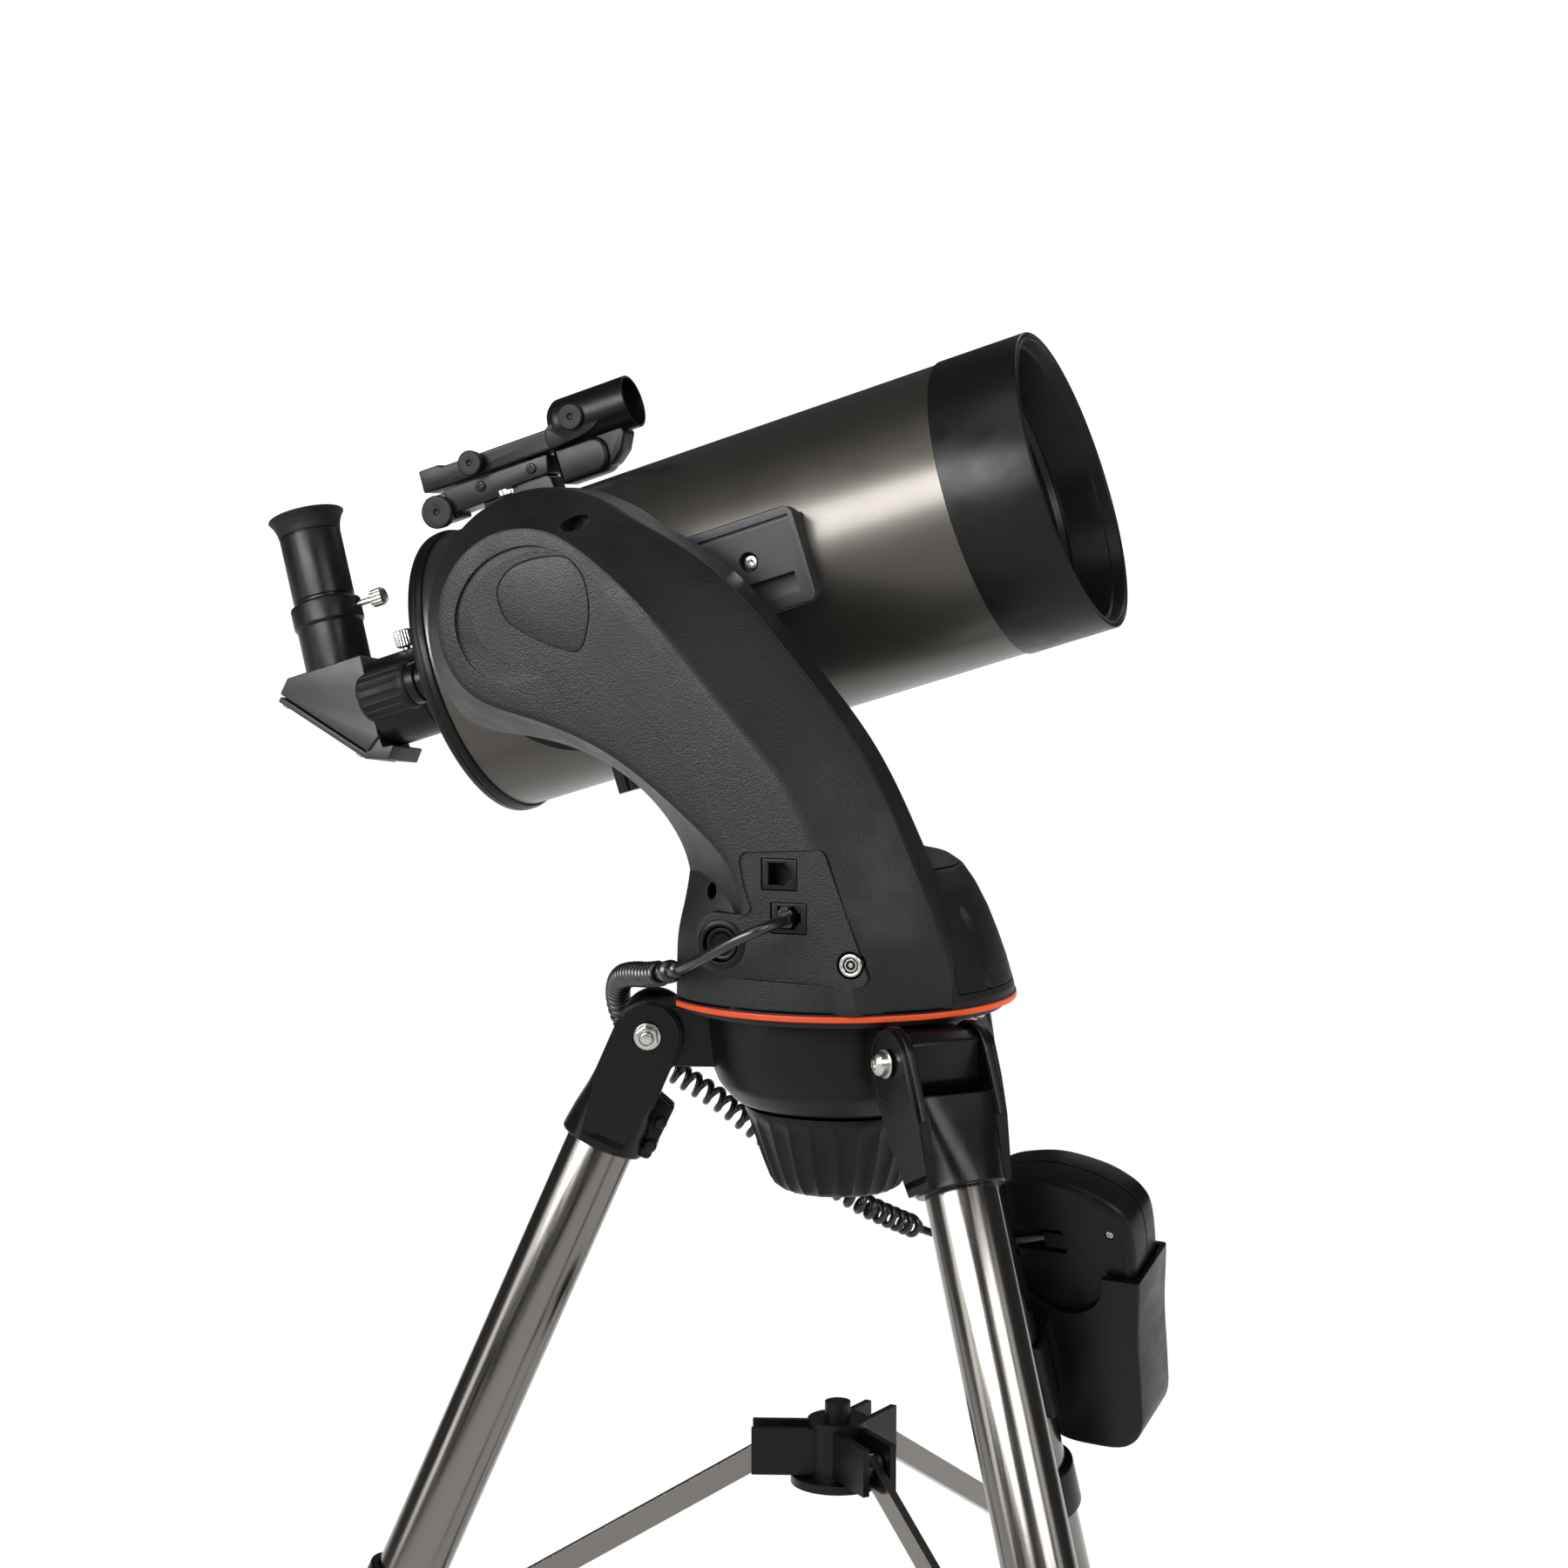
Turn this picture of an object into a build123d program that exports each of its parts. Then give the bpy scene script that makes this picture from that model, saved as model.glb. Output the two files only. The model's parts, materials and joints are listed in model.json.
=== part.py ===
"""Catadioptric telescope on a single-arm, motor-driven mount and a folding steel tripod.

Millimetres, +Z up. The origin is on the floor, on the azimuth axis. +X is the compass direction the
optical tube points in, the altitude axis lies along Y, and the arm stands on the -Y side.
"""

import os
from math import cos, degrees, pi, radians, sin, sqrt, tan

from build123d import *

# ---- tripod ----
LEG_AZIMUTHS = {"a": 196.5, "b": 316.5, "c": 76.5}
SPLAY = 23.85  # leg angle from the vertical, degrees
HINGE_R = 86.3  # hinge pins' distance from the azimuth axis
HINGE_DROP = 18.0  # hinge pins below the accent ring
LEG_REACH = 650.0  # hinge pin to the centre of the foot's ball, legs collapsed
FOOT_R = 15.0
FOOT_FLAT = 1.5  # how much of the ball is worn flat
LEG_TUBE_R = 31.75 / 2
LEG_WALL = 1.5
EXTENSION_R = 25.4 / 2
LEG_TUBE_END = 548.0
EXTENSION_TOP = 180.0
CLAMP_TOP, CLAMP_END = 520.0, 576.0
LOCK_Z = -562.0  # lock knob, along the leg
BOLT_R = 4.0
EAR_HALF = 17.2
CHEEK_R = 15.8
CHEEK_OUTER = 23.6
BARREL_TOP, BARREL_END = 19.5, 58.0
STRUT_AT = 300.0  # strut pivot below the hinge, along the leg
STRUT_OUT = 28.0  # strut pivot inward of the leg's axis
STRUT_LENGTH = 175.5
HUB_PIVOT_R = 30.0
HUB_HALF = 4.0
STRUT_RISE = 30.0  # strut slope at rest, degrees

# ---- mount ----
RING_R = 82.0
RING_HALF = 1.35
PLINTH_END = -4.6  # underside of the base, clear of the leg brackets
HEAD_R = 60.3
HEAD_TOP = -5.4
FLAT_X = -58.0  # the base is cut off flat on this side
ARM_FACE_Y, ARM_SPLIT_Y, ARM_INNER_Y = -78.0, -46.0, -17.0
ALT_X, ALT_Z = -122.8, 169.0  # altitude axis, height above the ring
ARM_HEAD_R, FACE_HEAD_R = 62.0, 41.0
WALL = 2.5
CAVITY = [(-153, 148), (-156, 175), (-142, 199), (-118, 207), (-97, 199), (-60, 160), (-25, 118),
          (0, 80), (12, 60), (22, 10), (-16, 10), (-16, 55), (-40, 88), (-75, 118), (-115, 135)]
AUX_BOX = (-10.5, 5.5, -90, -60, 55, 69.5)
HAND_BOX = (-6, 10, -90, -60, 36, 50.5)
JACK_AT = (30, 24)
BUTTON_AT = (-29.4, 30.7)
PORT_PANEL = [(-21.5, 71.5), (17.5, 73.8), (38.3, 18), (35.5, 14.6), (-34, 16.5), (-40, 19), (-41, 23),
              (-41, 38), (-35.5, 44.6), (-17.6, 43.8), (-15.3, 47), (-19, 57.5)]
PORT_PANEL_Y = -77.0
BEARING_R = 14.0
SHAFT_R = 8.0
RUNNING = 0.05  # radial clearance of a running fit
STUD_R = 4.8

# ---- optical tube, lengths along its axis from the altitude axis, + forward ----
TUBE_Y = 86.0
TILT = 17.37
TUBE_R, TUBE_WALL = 72.0, 1.5
FRONT, CELL_REAR, REAR = 221.5, 177.7, -99.7
CELL_R, REAR_R = 72.9, 74.0
LENS_R = 63.5
CORRECTOR_R = 280.0  # curvature of the corrector
BAFFLE_R = 17.0
BARREL_R = 31.75 / 2  # standard eyepiece barrel
BACK_R, BACK_END = 23.0, -156.5
RAIL_HALF, RAIL_REAR, RAIL_FRONT = 23.0, -56.0, 110.0
FOCUS_SIDE, FOCUS_UP = -40.0, 1.5
SWIVEL_REST = 8.0  # the diagonal leans this far away from the arm
EYE_S = -179.0  # eyepiece axis
FINDER_SIDE = -2.0

# ---- hand control, on the rear leg ----
HAND_SIDE = -23.5
HAND_TOP, HAND_LENGTH = 119.0, 165.0
HAND_BACK, HAND_FRONT = 25.0, 55.0

# ---- cord, heights from the accent ring ----
LEAD_R, COIL_R = 2.1, 5.6
LEAD_ROUTE = [(2, -82, 43.5), (1.5, -90, 43.2), (-2.5, -97, 41.5), (-10.5, -100.5, 38),
              (-24.5, -98.5, 30.5), (-37, -92, 24), (-47.5, -82, 19), (-58.75, -70, 15.5)]
COIL_ROUTE = [(-58.75, -70, 15.5), (-70, -58, 12), (-85, -41, 9.5), (-99.5, -22, 4.5), (-109.5, -2, -8),
              (-110, 10, -24), (-102, 18, -38), (-88, 26, -50), (-72, 36, -62), (-56, 47, -79), (-36.5, 61, -97.5)]
SAG_ROUTE = [(-36.5, 61, -97.5), (-17, 75, -116), (-2, 99, -130.5), (4.5, 121, -139.75)]
TAIL_ROUTE = [(4.5, 121, -139.75), (11, 143, -149), (20, 160, -153), (40, 164.5, -154.5), (59.07, 168.96, -150.18)]

MOUNT_Z = (LEG_REACH * cos(radians(SPLAY)) + FOOT_R - FOOT_FLAT) + HINGE_DROP
MOUNT = Location((0, 0, MOUNT_Z))
TUBE_X = Vector(cos(radians(TILT)), 0, sin(radians(TILT)))
TUBE_UP = Vector(-sin(radians(TILT)), 0, cos(radians(TILT)))
OTA = Plane(origin=(ALT_X, TUBE_Y, MOUNT_Z + ALT_Z), x_dir=TUBE_X, z_dir=TUBE_UP).location


def leg_location(azimuth):
    """Frame at a hinge pin: X outward, square to the leg, Z up the leg."""
    a, s = radians(azimuth), radians(SPLAY)
    up = Vector(-cos(a) * sin(s), -sin(a) * sin(s), cos(s))
    out = Vector(cos(a) * cos(s), sin(a) * cos(s), sin(s))
    pin = (HINGE_R * cos(a), HINGE_R * sin(a), MOUNT_Z - HINGE_DROP)
    return Plane(origin=pin, x_dir=out, z_dir=up).location


LEGS = {name: leg_location(azimuth) for name, azimuth in LEG_AZIMUTHS.items()}


def save(name, shape, frame=None):
    placed = frame * shape if frame is not None else shape
    export_step(placed, f"parts/{name}.step")


def box(x0, x1, y0, y1, z0, z1):
    return Pos((x0 + x1) / 2, (y0 + y1) / 2, (z0 + z1) / 2) * Box(x1 - x0, y1 - y0, z1 - z0)


def rod_x(r, x0, x1, y=0.0, z=0.0):
    return Pos((x0 + x1) / 2, y, z) * Rot(0, 90, 0) * Cylinder(r, x1 - x0)


def rod_y(r, y0, y1, x=0.0, z=0.0):
    return Pos(x, (y0 + y1) / 2, z) * Rot(90, 0, 0) * Cylinder(r, y1 - y0)


def rod_z(r, z0, z1, x=0.0, y=0.0):
    return Pos(x, y, (z0 + z1) / 2) * Cylinder(r, z1 - z0)


def turned_z(points):
    """Solid of revolution about Z from (radius, height) points."""
    return revolve(Plane.XZ * make_face(Polyline(*points, close=True)), Axis.Z)


def turned_x(points):
    """Solid of revolution about X from (length, radius) points."""
    return revolve(Plane.XZ * make_face(Polyline(*points, close=True)), Axis.X)


def face_at(y):
    """Plane parallel to XZ at a given Y, its normal towards -Y."""
    return Plane(origin=(0, y, 0), x_dir=(1, 0, 0), z_dir=(0, -1, 0))


def prism_y(points, y0, y1):
    """Polygon in X and Z, extruded from y0 to y1."""
    return extrude(face_at(y1) * make_face(Polyline(*points, close=True)), y1 - y0)


# ---------------------------------------------------------------- tripod


def tripod_head():
    cup = turned_z([(10, HEAD_TOP), (HEAD_R, HEAD_TOP), (HEAD_R, -15), (58.5, -32), (55.4, -42),
                    (51, -50), (45, -54.6), (37.6, -56.4), (10, -56.4)])
    cup -= turned_z([(16, -14), (55, -14), (54, -32), (51, -40), (46.5, -47), (40, -51), (16, -51)])
    cup -= rod_z(STUD_R + 0.4, -60, 0)
    for azimuth in LEG_AZIMUTHS.values():
        ear = box(52, 96.5, -EAR_HALF, EAR_HALF, -31, HEAD_TOP)
        ear -= rod_y(BOLT_R + RUNNING, -30, 30, HINGE_R, -HINGE_DROP)
        cup += Rot(0, 0, azimuth) * ear
    return cup


def hinge_bolts():
    """Bolt through each ear, with its head and nut outside the leg's cheeks."""
    bolts = []
    for frame in LEGS.values():
        bolt = rod_y(BOLT_R, -CHEEK_OUTER - 0.4, CHEEK_OUTER + 0.4)
        for side in (-1, 1):
            start = side * (CHEEK_OUTER + 0.4)
            washer = rod_y(9.0, min(start, start + side * 1.2), max(start, start + side * 1.2))
            nut = extrude(face_at(0) * RegularPolygon(7.4, 6), 5.0)
            bolt += washer + Pos(0, start + side * 1.2 + (5 if side > 0 else 0), 0) * nut
        bolts.append(frame * bolt)
    return Compound(children=bolts)


def mount_knob():
    """Large hand knob under the head, with the stud that holds the mount."""
    knob = turned_z([(0, -57), (38.4, -57), (33.2, -73.6), (25.1, -88.8), (18, -92.5), (0, -93.3)])
    for i in range(24):
        flute = Pos(41.5, 0, -57) * Rot(0, -19, 0) * Cylinder(3.4, 90)
        knob -= Rot(0, 0, i * 15) * flute
    return knob + rod_z(STUD_R, -58, 14)


def leg_fittings():
    """Clevis with its tube socket at the top of a leg, and the clamp at the tube's lower end."""
    side = Pos(0, 0) * Circle(CHEEK_R) + Pos(0, -BARREL_END / 2) * Rectangle(2 * CHEEK_R, BARREL_END)
    clevis = extrude(face_at(30) * side, 60)
    taper = Polyline((-CHEEK_OUTER, 20), (CHEEK_OUTER, 20), (CHEEK_OUTER, -12), (18.2, -BARREL_END),
                     (-18.2, -BARREL_END), (-CHEEK_OUTER, -12), close=True)
    clevis &= extrude(Plane.YZ * make_face(taper), 30, both=True)
    clevis += rod_z(18.8, -BARREL_END, -BARREL_TOP)
    clevis -= box(-30, 30, -EAR_HALF - 0.3, EAR_HALF + 0.3, -BARREL_TOP, 30)
    clevis += box(-25, -14, -5, 5, -56, -30)
    clevis -= rod_z(LEG_TUBE_R, -BARREL_END - 1, -24)
    clevis -= rod_y(BOLT_R + RUNNING, -30, 30)
    for z in (-38, -50):
        clevis += rod_y(3.2, -7.5, 7.5, -21, z)

    clamp = rod_z(21, -CLAMP_END, -CLAMP_TOP)
    clamp += rod_x(8, 14, 27, 0, LOCK_Z)
    clamp -= rod_z(LEG_TUBE_R, -LEG_TUBE_END, -CLAMP_TOP + 1)
    clamp -= rod_z(EXTENSION_R + RUNNING, -CLAMP_END - 1, -LEG_TUBE_END + 1)
    clamp -= rod_x(BOLT_R + RUNNING, 12, 30, 0, LOCK_Z)

    band = rod_z(19.5, -STRUT_AT - 14, -STRUT_AT + 14) - rod_z(LEG_TUBE_R, -STRUT_AT - 15, -STRUT_AT + 15)
    for y in (-7.5, 7.5):
        lug = box(-STRUT_OUT, -16.5, y - 1.9, y + 1.9, -STRUT_AT - 6, -STRUT_AT + 6)
        lug += rod_y(6, y - 1.9, y + 1.9, -STRUT_OUT, -STRUT_AT)
        band += lug
    band -= rod_y(2.5, -12, 12, -STRUT_OUT, -STRUT_AT)
    return Compound(children=[clevis, clamp, band])


def leg_tube():
    tube = rod_z(LEG_TUBE_R, -LEG_TUBE_END, -24)
    return tube - rod_z(LEG_TUBE_R - LEG_WALL, -LEG_TUBE_END - 1, -23)


def lock_knob():
    knob = rod_x(13, 27.4, 40, 0, LOCK_Z) + rod_x(BOLT_R, EXTENSION_R + 0.2, 28, 0, LOCK_Z)
    for i in range(6):
        a = i * pi / 3
        knob -= rod_x(3.6, 27, 41, 14.6 * cos(a), LOCK_Z + 14.6 * sin(a))
    return knob


def leg_extension():
    tube = rod_z(EXTENSION_R, -LEG_REACH + 14, -EXTENSION_TOP)
    return tube - rod_z(EXTENSION_R - 1.2, -LEG_REACH + 13, -EXTENSION_TOP + 1)


def leg_foot(frame):
    """Rubber boot over the end of the leg, cut flat where it meets the floor."""
    foot = rod_z(FOOT_R, -LEG_REACH, -LEG_REACH + 26) + Pos(0, 0, -LEG_REACH) * Sphere(FOOT_R)
    foot -= rod_z(EXTENSION_R, -LEG_REACH + 14, -LEG_REACH + 27)
    return (frame * foot) - box(-900, 900, -900, 900, -50, 0)


def strut():
    """Flat brace, drawn level and then turned up to its slope about its pin at the leg."""
    bar = box(-STRUT_LENGTH, 0, -2, 2, -5.5, 5.5)
    for x in (0, -STRUT_LENGTH):
        bar += rod_y(5.5, -4.5, 4.5, x)
    pin = rod_y(2.4, -11, 11)
    return Rot(0, STRUT_RISE, 0) * (bar + pin)


def strut_location(azimuth):
    a, s = radians(azimuth), radians(SPLAY)
    r = HINGE_R + STRUT_AT * sin(s) - STRUT_OUT * cos(s)
    z = MOUNT_Z - HINGE_DROP - STRUT_AT * cos(s) - STRUT_OUT * sin(s)
    return Location((r * cos(a), r * sin(a), z), (0, 0, azimuth))


def tray_hub():
    """Spreader hub: a disc with three forks; the struts' inner ends lie in the forks."""
    a = radians(SPLAY)
    z = (MOUNT_Z - HINGE_DROP - STRUT_AT * cos(a) - STRUT_OUT * sin(a)
         + STRUT_LENGTH * sin(radians(STRUT_RISE)))
    hub = turned_z([(0, -6), (14, -6), (14, -16), (0, -16)]) + rod_z(14, -7, 14)
    for azimuth in LEG_AZIMUTHS.values():
        for y in (-7, 7):
            hub += Rot(0, 0, azimuth) * box(8, 40, y - 1.6, y + 1.6, -11, 11)
    hub += rod_z(22, -16, -12) + rod_z(6, 10, 22)
    return Pos(0, 0, z) * hub


# ---------------------------------------------------------------- mount


def dome_points():
    return [(0, 1.6), (81.4, 1.6), (80.8, 5), (77.3, 17), (73.2, 29), (69.1, 39), (63, 51), (57, 59.5),
            (51, 63.6), (42, 65.6), (0, 66.5)]


def base_housing():
    """Domed lower housing, hollow, with the bearing hole in its floor and a battery opening."""
    shell = turned_z(dome_points())
    shell -= turned_z([(0, 5), (77, 5), (74, 17), (70, 29), (66, 39), (60, 50), (54, 57), (48, 61), (0, 63)])
    shell += rod_z(79.5, RING_HALF, 2) + rod_z(RING_R - 5, PLINTH_END, RING_HALF)
    shell &= box(FLAT_X, 90, ARM_SPLIT_Y, 90, -20, 90) + box(FLAT_X, 90, -90, ARM_SPLIT_Y, -20, 1.6)
    shell += (turned_z(dome_points()) & box(FLAT_X, FLAT_X + WALL, ARM_SPLIT_Y, 90, 2, 90))
    shell -= rod_z(BEARING_R + RUNNING, -6, 10)
    return shell - battery_cut(0.4)


def battery_cut(gap):
    """Sector of the dome's side that the battery door fills."""
    sector = box(30, 100, -100, 100, 8 - gap, 60 + gap)
    for side in (-1, 1):
        wedge = box(0, 160, 0, 160, 0, 80)
        turn = side * (30 + degrees(gap / 75))
        sector -= Rot(0, 0, turn if side > 0 else turn - 90) * wedge
    return sector


def battery_door():
    skin = turned_z(dome_points()) & battery_cut(0)
    skin -= turned_z([(0, 0), (78.4, 0), (77.9, 5), (74.7, 17), (70.6, 29), (66.5, 39), (60.4, 51),
                     (54.6, 59.5), (50.4, 62), (0, 62)])
    return skin


def accent_ring():
    ring = rod_z(RING_R, -RING_HALF, RING_HALF) - rod_z(RING_R - 5, -9, 9)
    ring &= box(FLAT_X, 90, -90, 90, -20, 90)
    return ring


def arm_outline(y, face):
    """Side view of the arm: round head, then two curved edges down to the base."""
    r = FACE_HEAD_R if face else ARM_HEAD_R
    c = Vector(ALT_X, ALT_Z + (1.5 if face else 0))
    start = c + Vector(r * cos(radians(58)), r * sin(radians(58)))
    top = c + Vector(r * cos(radians(140)), r * sin(radians(140)))
    end = c + Vector(r * cos(radians(222)), r * sin(radians(222)))
    head = ThreePointArc(start, top, end)
    if face:
        right = [start, (-64.4, 174.9), (-24, 128.5), (0, 99.5), (13, 74), (30, 30), (33, 1.7)]
        left = [(-24, 1.7), (-20, 30), (-22, 59.5), (-44.3, 85.5), (-81.2, 113.3), (-123, 129.5), end]
    else:
        right = [start, (-51, 199.4), (-8.1, 156.6), (24.3, 115.7), (50.4, 64), (64, 30), (68, 1.7)]
        left = [(FLAT_X, 1.7), (-57, 30), (-55.7, 58.6), (-68.2, 83.8), (-93.5, 104.8), (-136.4, 117.6), end]
    along = Vector(sin(radians(58)), -cos(radians(58)))
    back = Vector(-sin(radians(222)), cos(radians(222)))
    edges = [head, Spline(*right, tangents=(along, (0.05, -1))), Line(right[-1], left[0]),
             Spline(*left, tangents=((0.05, 1), -back))]
    return face_at(y) * make_face(edges)


def arm_blank():
    """The outer shell's full form: bevelled arm, with the base's round front at its foot."""
    arm = loft([arm_outline(ARM_SPLIT_Y, False), arm_outline(ARM_FACE_Y, True)], ruled=True)
    foot = turned_z([(0, 1.7), (81.4, 1.7), (81.2, 44), (70, 76), (0, 76)])
    foot &= extrude(arm_outline(ARM_SPLIT_Y, False), 40)
    return arm + foot


def arm_outer_shell():
    shell = arm_blank() + prism_y(PORT_PANEL, PORT_PANEL_Y, -58)
    shell -= prism_y(PORT_PANEL, -90, PORT_PANEL_Y)
    cavity = extrude(face_at(ARM_SPLIT_Y) * make_face(Polyline(*CAVITY, close=True)), 28)
    shell -= cavity
    shell -= box(*AUX_BOX) + box(*HAND_BOX)
    shell -= rod_y(6.6, -90, -60, *JACK_AT)
    shell -= rod_y(9.3, -90, -73.5, *BUTTON_AT) + rod_y(7.5, -74, -60, *BUTTON_AT)
    shell -= Pos(-102.6, -68, 214.6) * Rot(90 + 35, 0, 0) * Cylinder(3.4, 14)
    return shell


def arm_inner_shell():
    body = extrude(arm_outline(ARM_INNER_Y, False), ARM_INNER_Y - ARM_SPLIT_Y)
    body -= turned_z(dome_points())
    body -= box(-200, 200, -100, 0, -20, 20)
    cavity = extrude(face_at(ARM_INNER_Y - 4) * make_face(Polyline(*CAVITY, close=True)), 40)
    body -= cavity
    return body - rod_y(SHAFT_R + RUNNING, -30, -10, ALT_X, ALT_Z)


def socket_shell(bounds):
    x0, x1, _, _, z0, z1 = bounds
    shell = box(x0 + 0.2, x1 - 0.2, -76.5, -61, z0 + 0.2, z1 - 0.2)
    return shell - box(x0 + 3, x1 - 3, -90, -66, z0 + 2.5, z1 - 2.5)


def port_sockets():
    """Auxiliary and hand-control sockets, the hand control's plug in its socket, and the power jack."""
    jack = rod_y(6.4, -76, -61, *JACK_AT) - rod_y(3.6, -90, -64, *JACK_AT)
    pin = rod_y(1.0, -74, -64, *JACK_AT)
    plug = box(-2.6, 6.6, LEAD_ROUTE[0][1], -66, 38.9, 47.6)
    return Compound(children=[socket_shell(AUX_BOX), socket_shell(HAND_BOX), plug, jack, pin])


def power_button():
    return rod_y(7.4, -75.3, -62, *BUTTON_AT) - rod_y(5.0, -77, -74.5, *BUTTON_AT)


def azimuth_gear():
    """Worm wheel fixed to the tripod head; the base turns about its hub."""
    wheel = rod_z(46, 9, 16) + rod_z(BEARING_R, HEAD_TOP, 10)
    for i in range(60):
        wheel -= Rot(0, 0, i * 6) * box(45, 47, -0.9, 0.9, 8, 17)
    return wheel - rod_z(STUD_R + 0.4, -10, 20)


def altitude_gear():
    wheel = rod_y(28, -44, -37, ALT_X, ALT_Z) + rod_y(SHAFT_R, -40, ARM_INNER_Y + 0.3, ALT_X, ALT_Z)
    for i in range(48):
        tooth_gap = box(27.2, 29, -45, -36, -0.8, 0.8)
        wheel -= Pos(ALT_X, 0, ALT_Z) * Rot(0, i * 7.5, 0) * tooth_gap
    return wheel


def drive_motors():
    """One motor for each axis: on the arm's inner wall, and on the base's floor."""
    motor = Rot(0, 45, 0) * (rod_x(10, -18, 18) + rod_x(4, 17, 30))
    altitude = Pos(-64, -52, 142) * motor + rod_y(5, -46, ARM_INNER_Y - 4, -64, 142)
    azimuth = rod_z(8.5, 5, 36, 29, 49) + rod_z(3, 35, 42, 29, 49)
    return Compound(children=[altitude, azimuth])


def dovetail_clamp():
    """Bearing disc at the arm's head with the jaws that hold the rail; drawn in the tube's frame."""
    side = ARM_INNER_Y - TUBE_Y
    plate = rod_y(60, side + 0.3, side + 8) + box(-38, 38, side + 7, -84.4, -33, 33)
    for low, high in ((-33, -RAIL_HALF - 0.2), (RAIL_HALF + 0.2, 33)):
        plate += box(-38, 38, -85, -76, low, high)
    plate += box(-10, 10, -90, -76, -42, -32)
    plate -= rod_z(3.05, -44, -30, -1, -83)
    return plate


def clamp_knob():
    knob = rod_z(10, -82, -66, -1, -83) + rod_z(3, -67, -34, -1, -83)
    for i in range(8):
        a = i * pi / 4
        knob -= rod_z(2.4, -83, -65, -1 + 11.2 * cos(a), -83 + 11.2 * sin(a))
    return knob


# ---------------------------------------------------------------- optical tube


def tube():
    return turned_x([(-92, TUBE_R - TUBE_WALL), (-92, TUBE_R), (CELL_REAR, TUBE_R), (CELL_REAR, TUBE_R - TUBE_WALL)])


def front_cell():
    """Front cell: seats over the tube's end, holds the corrector and ends in a thin rim."""
    return turned_x([(CELL_REAR - 8, 64.6), (CELL_REAR - 8, TUBE_R - TUBE_WALL), (CELL_REAR, TUBE_R - TUBE_WALL),
                     (CELL_REAR, CELL_R), (FRONT - 1.5, CELL_R), (FRONT, CELL_R - 1.5), (FRONT, 69.4),
                     (FRONT - 6, 68.6), (FRONT - 6, 66.6), (FRONT - 24, 65.0), (FRONT - 24, 59),
                     (FRONT - 26, 59), (FRONT - 26, LENS_R + 0.1), (CELL_REAR + 2, LENS_R + 0.1),
                     (CELL_REAR + 2, 59), (CELL_REAR, 59)])


def sag(radius):
    """Depth of the corrector's surfaces at a distance from the axis."""
    return CORRECTOR_R - sqrt(CORRECTOR_R**2 - radius**2)


def corrector_lens():
    """Meniscus corrector, concave towards the sky."""
    front, back = FRONT - 33.6, FRONT - 45.6
    sky = ThreePointArc((front + sag(LENS_R), LENS_R), (front + sag(30), 30), (front, 0))
    inside = ThreePointArc((back, 0), (back + sag(30), 30), (back + sag(LENS_R), LENS_R))
    profile = make_face([sky, Line(sky @ 1, inside @ 0), inside, Line(inside @ 1, sky @ 0)])
    return revolve(Plane.XZ * profile, Axis.X)


def rear_cell():
    """Rear cell plate with its lip inside the tube and the boss that carries the visual back."""
    cell = turned_x([(-92, 0), (-92, REAR_R), (REAR + 2, REAR_R), (REAR, REAR_R - 2), (REAR, 0)])
    cell += turned_x([(-93, 60), (-93, TUBE_R - TUBE_WALL), (-82, TUBE_R - TUBE_WALL), (-82, 60)])
    cell += rod_x(19, -93, -84)
    cell -= rod_x(15, REAR - 1, -80)
    return cell - rod_x(3.05, REAR - 1, -80, FOCUS_SIDE, FOCUS_UP)


def primary_mirror():
    """Primary mirror with the sleeve that slides on the baffle tube when focusing."""
    bore = BAFFLE_R + RUNNING
    return turned_x([(-74, bore), (-74, 62), (-57, 62), (-60.5, 40), (-62.5, 22), (-50, 22), (-50, bore)])


def baffle_tube():
    return turned_x([(-84, 15), (-84, BAFFLE_R), (70, BAFFLE_R - 1), (70, 14)])


def visual_back():
    """Eyepiece-size socket behind the rear cell, with a threaded flange."""
    back = turned_x([(REAR, 15.0), (REAR, 25), (-108, 25), (-110, BACK_R), (BACK_END + 1, BACK_R),
                     (BACK_END, BACK_R - 1), (BACK_END, BARREL_R + RUNNING), (-122, BARREL_R + RUNNING), (-122, 15.0)])
    return back - rod_z(2.05, 15, 24, -137)


def visual_back_screw():
    screw = rod_z(4.4, 24, 33, -137) + rod_z(2, BARREL_R + 0.08, 25, -137)
    for i in range(18):
        a = i * pi / 9
        screw -= rod_z(0.5, 23, 34, -137 + 4.5 * cos(a), 4.5 * sin(a))
    return screw


def focus_knob():
    knob = rod_x(12.3, -147, -119, FOCUS_SIDE, FOCUS_UP) + rod_x(8, -120, REAR - 0.4, FOCUS_SIDE, FOCUS_UP)
    knob += rod_x(3, -101, -86, FOCUS_SIDE, FOCUS_UP)
    for i in range(24):
        a = i * pi / 12
        knob -= rod_x(0.8, -145, -121, FOCUS_SIDE + 12.5 * cos(a), FOCUS_UP + 12.5 * sin(a))
    return knob


def dovetail_rail():
    """Rail along the tube's arm side, its back hollowed to sit on the tube."""
    rail = box(RAIL_REAR, RAIL_FRONT, -84, -64, -RAIL_HALF, RAIL_HALF)
    rail = fillet(rail.edges().filter_by(Axis.Y).sort_by(Axis.X)[-2:], 5)
    rail -= box(-60, 104, -86, -79, -16.5, -6)
    rail -= box(-60, 104, -86, -82.5, 17, 18.5)
    rail -= rod_y(4.6, -86, -78, 83, 3)
    rail += rod_y(3.4, -80, -77.5, 83, 3)
    return rail - rod_x(TUBE_R, -200, 200)


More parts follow.
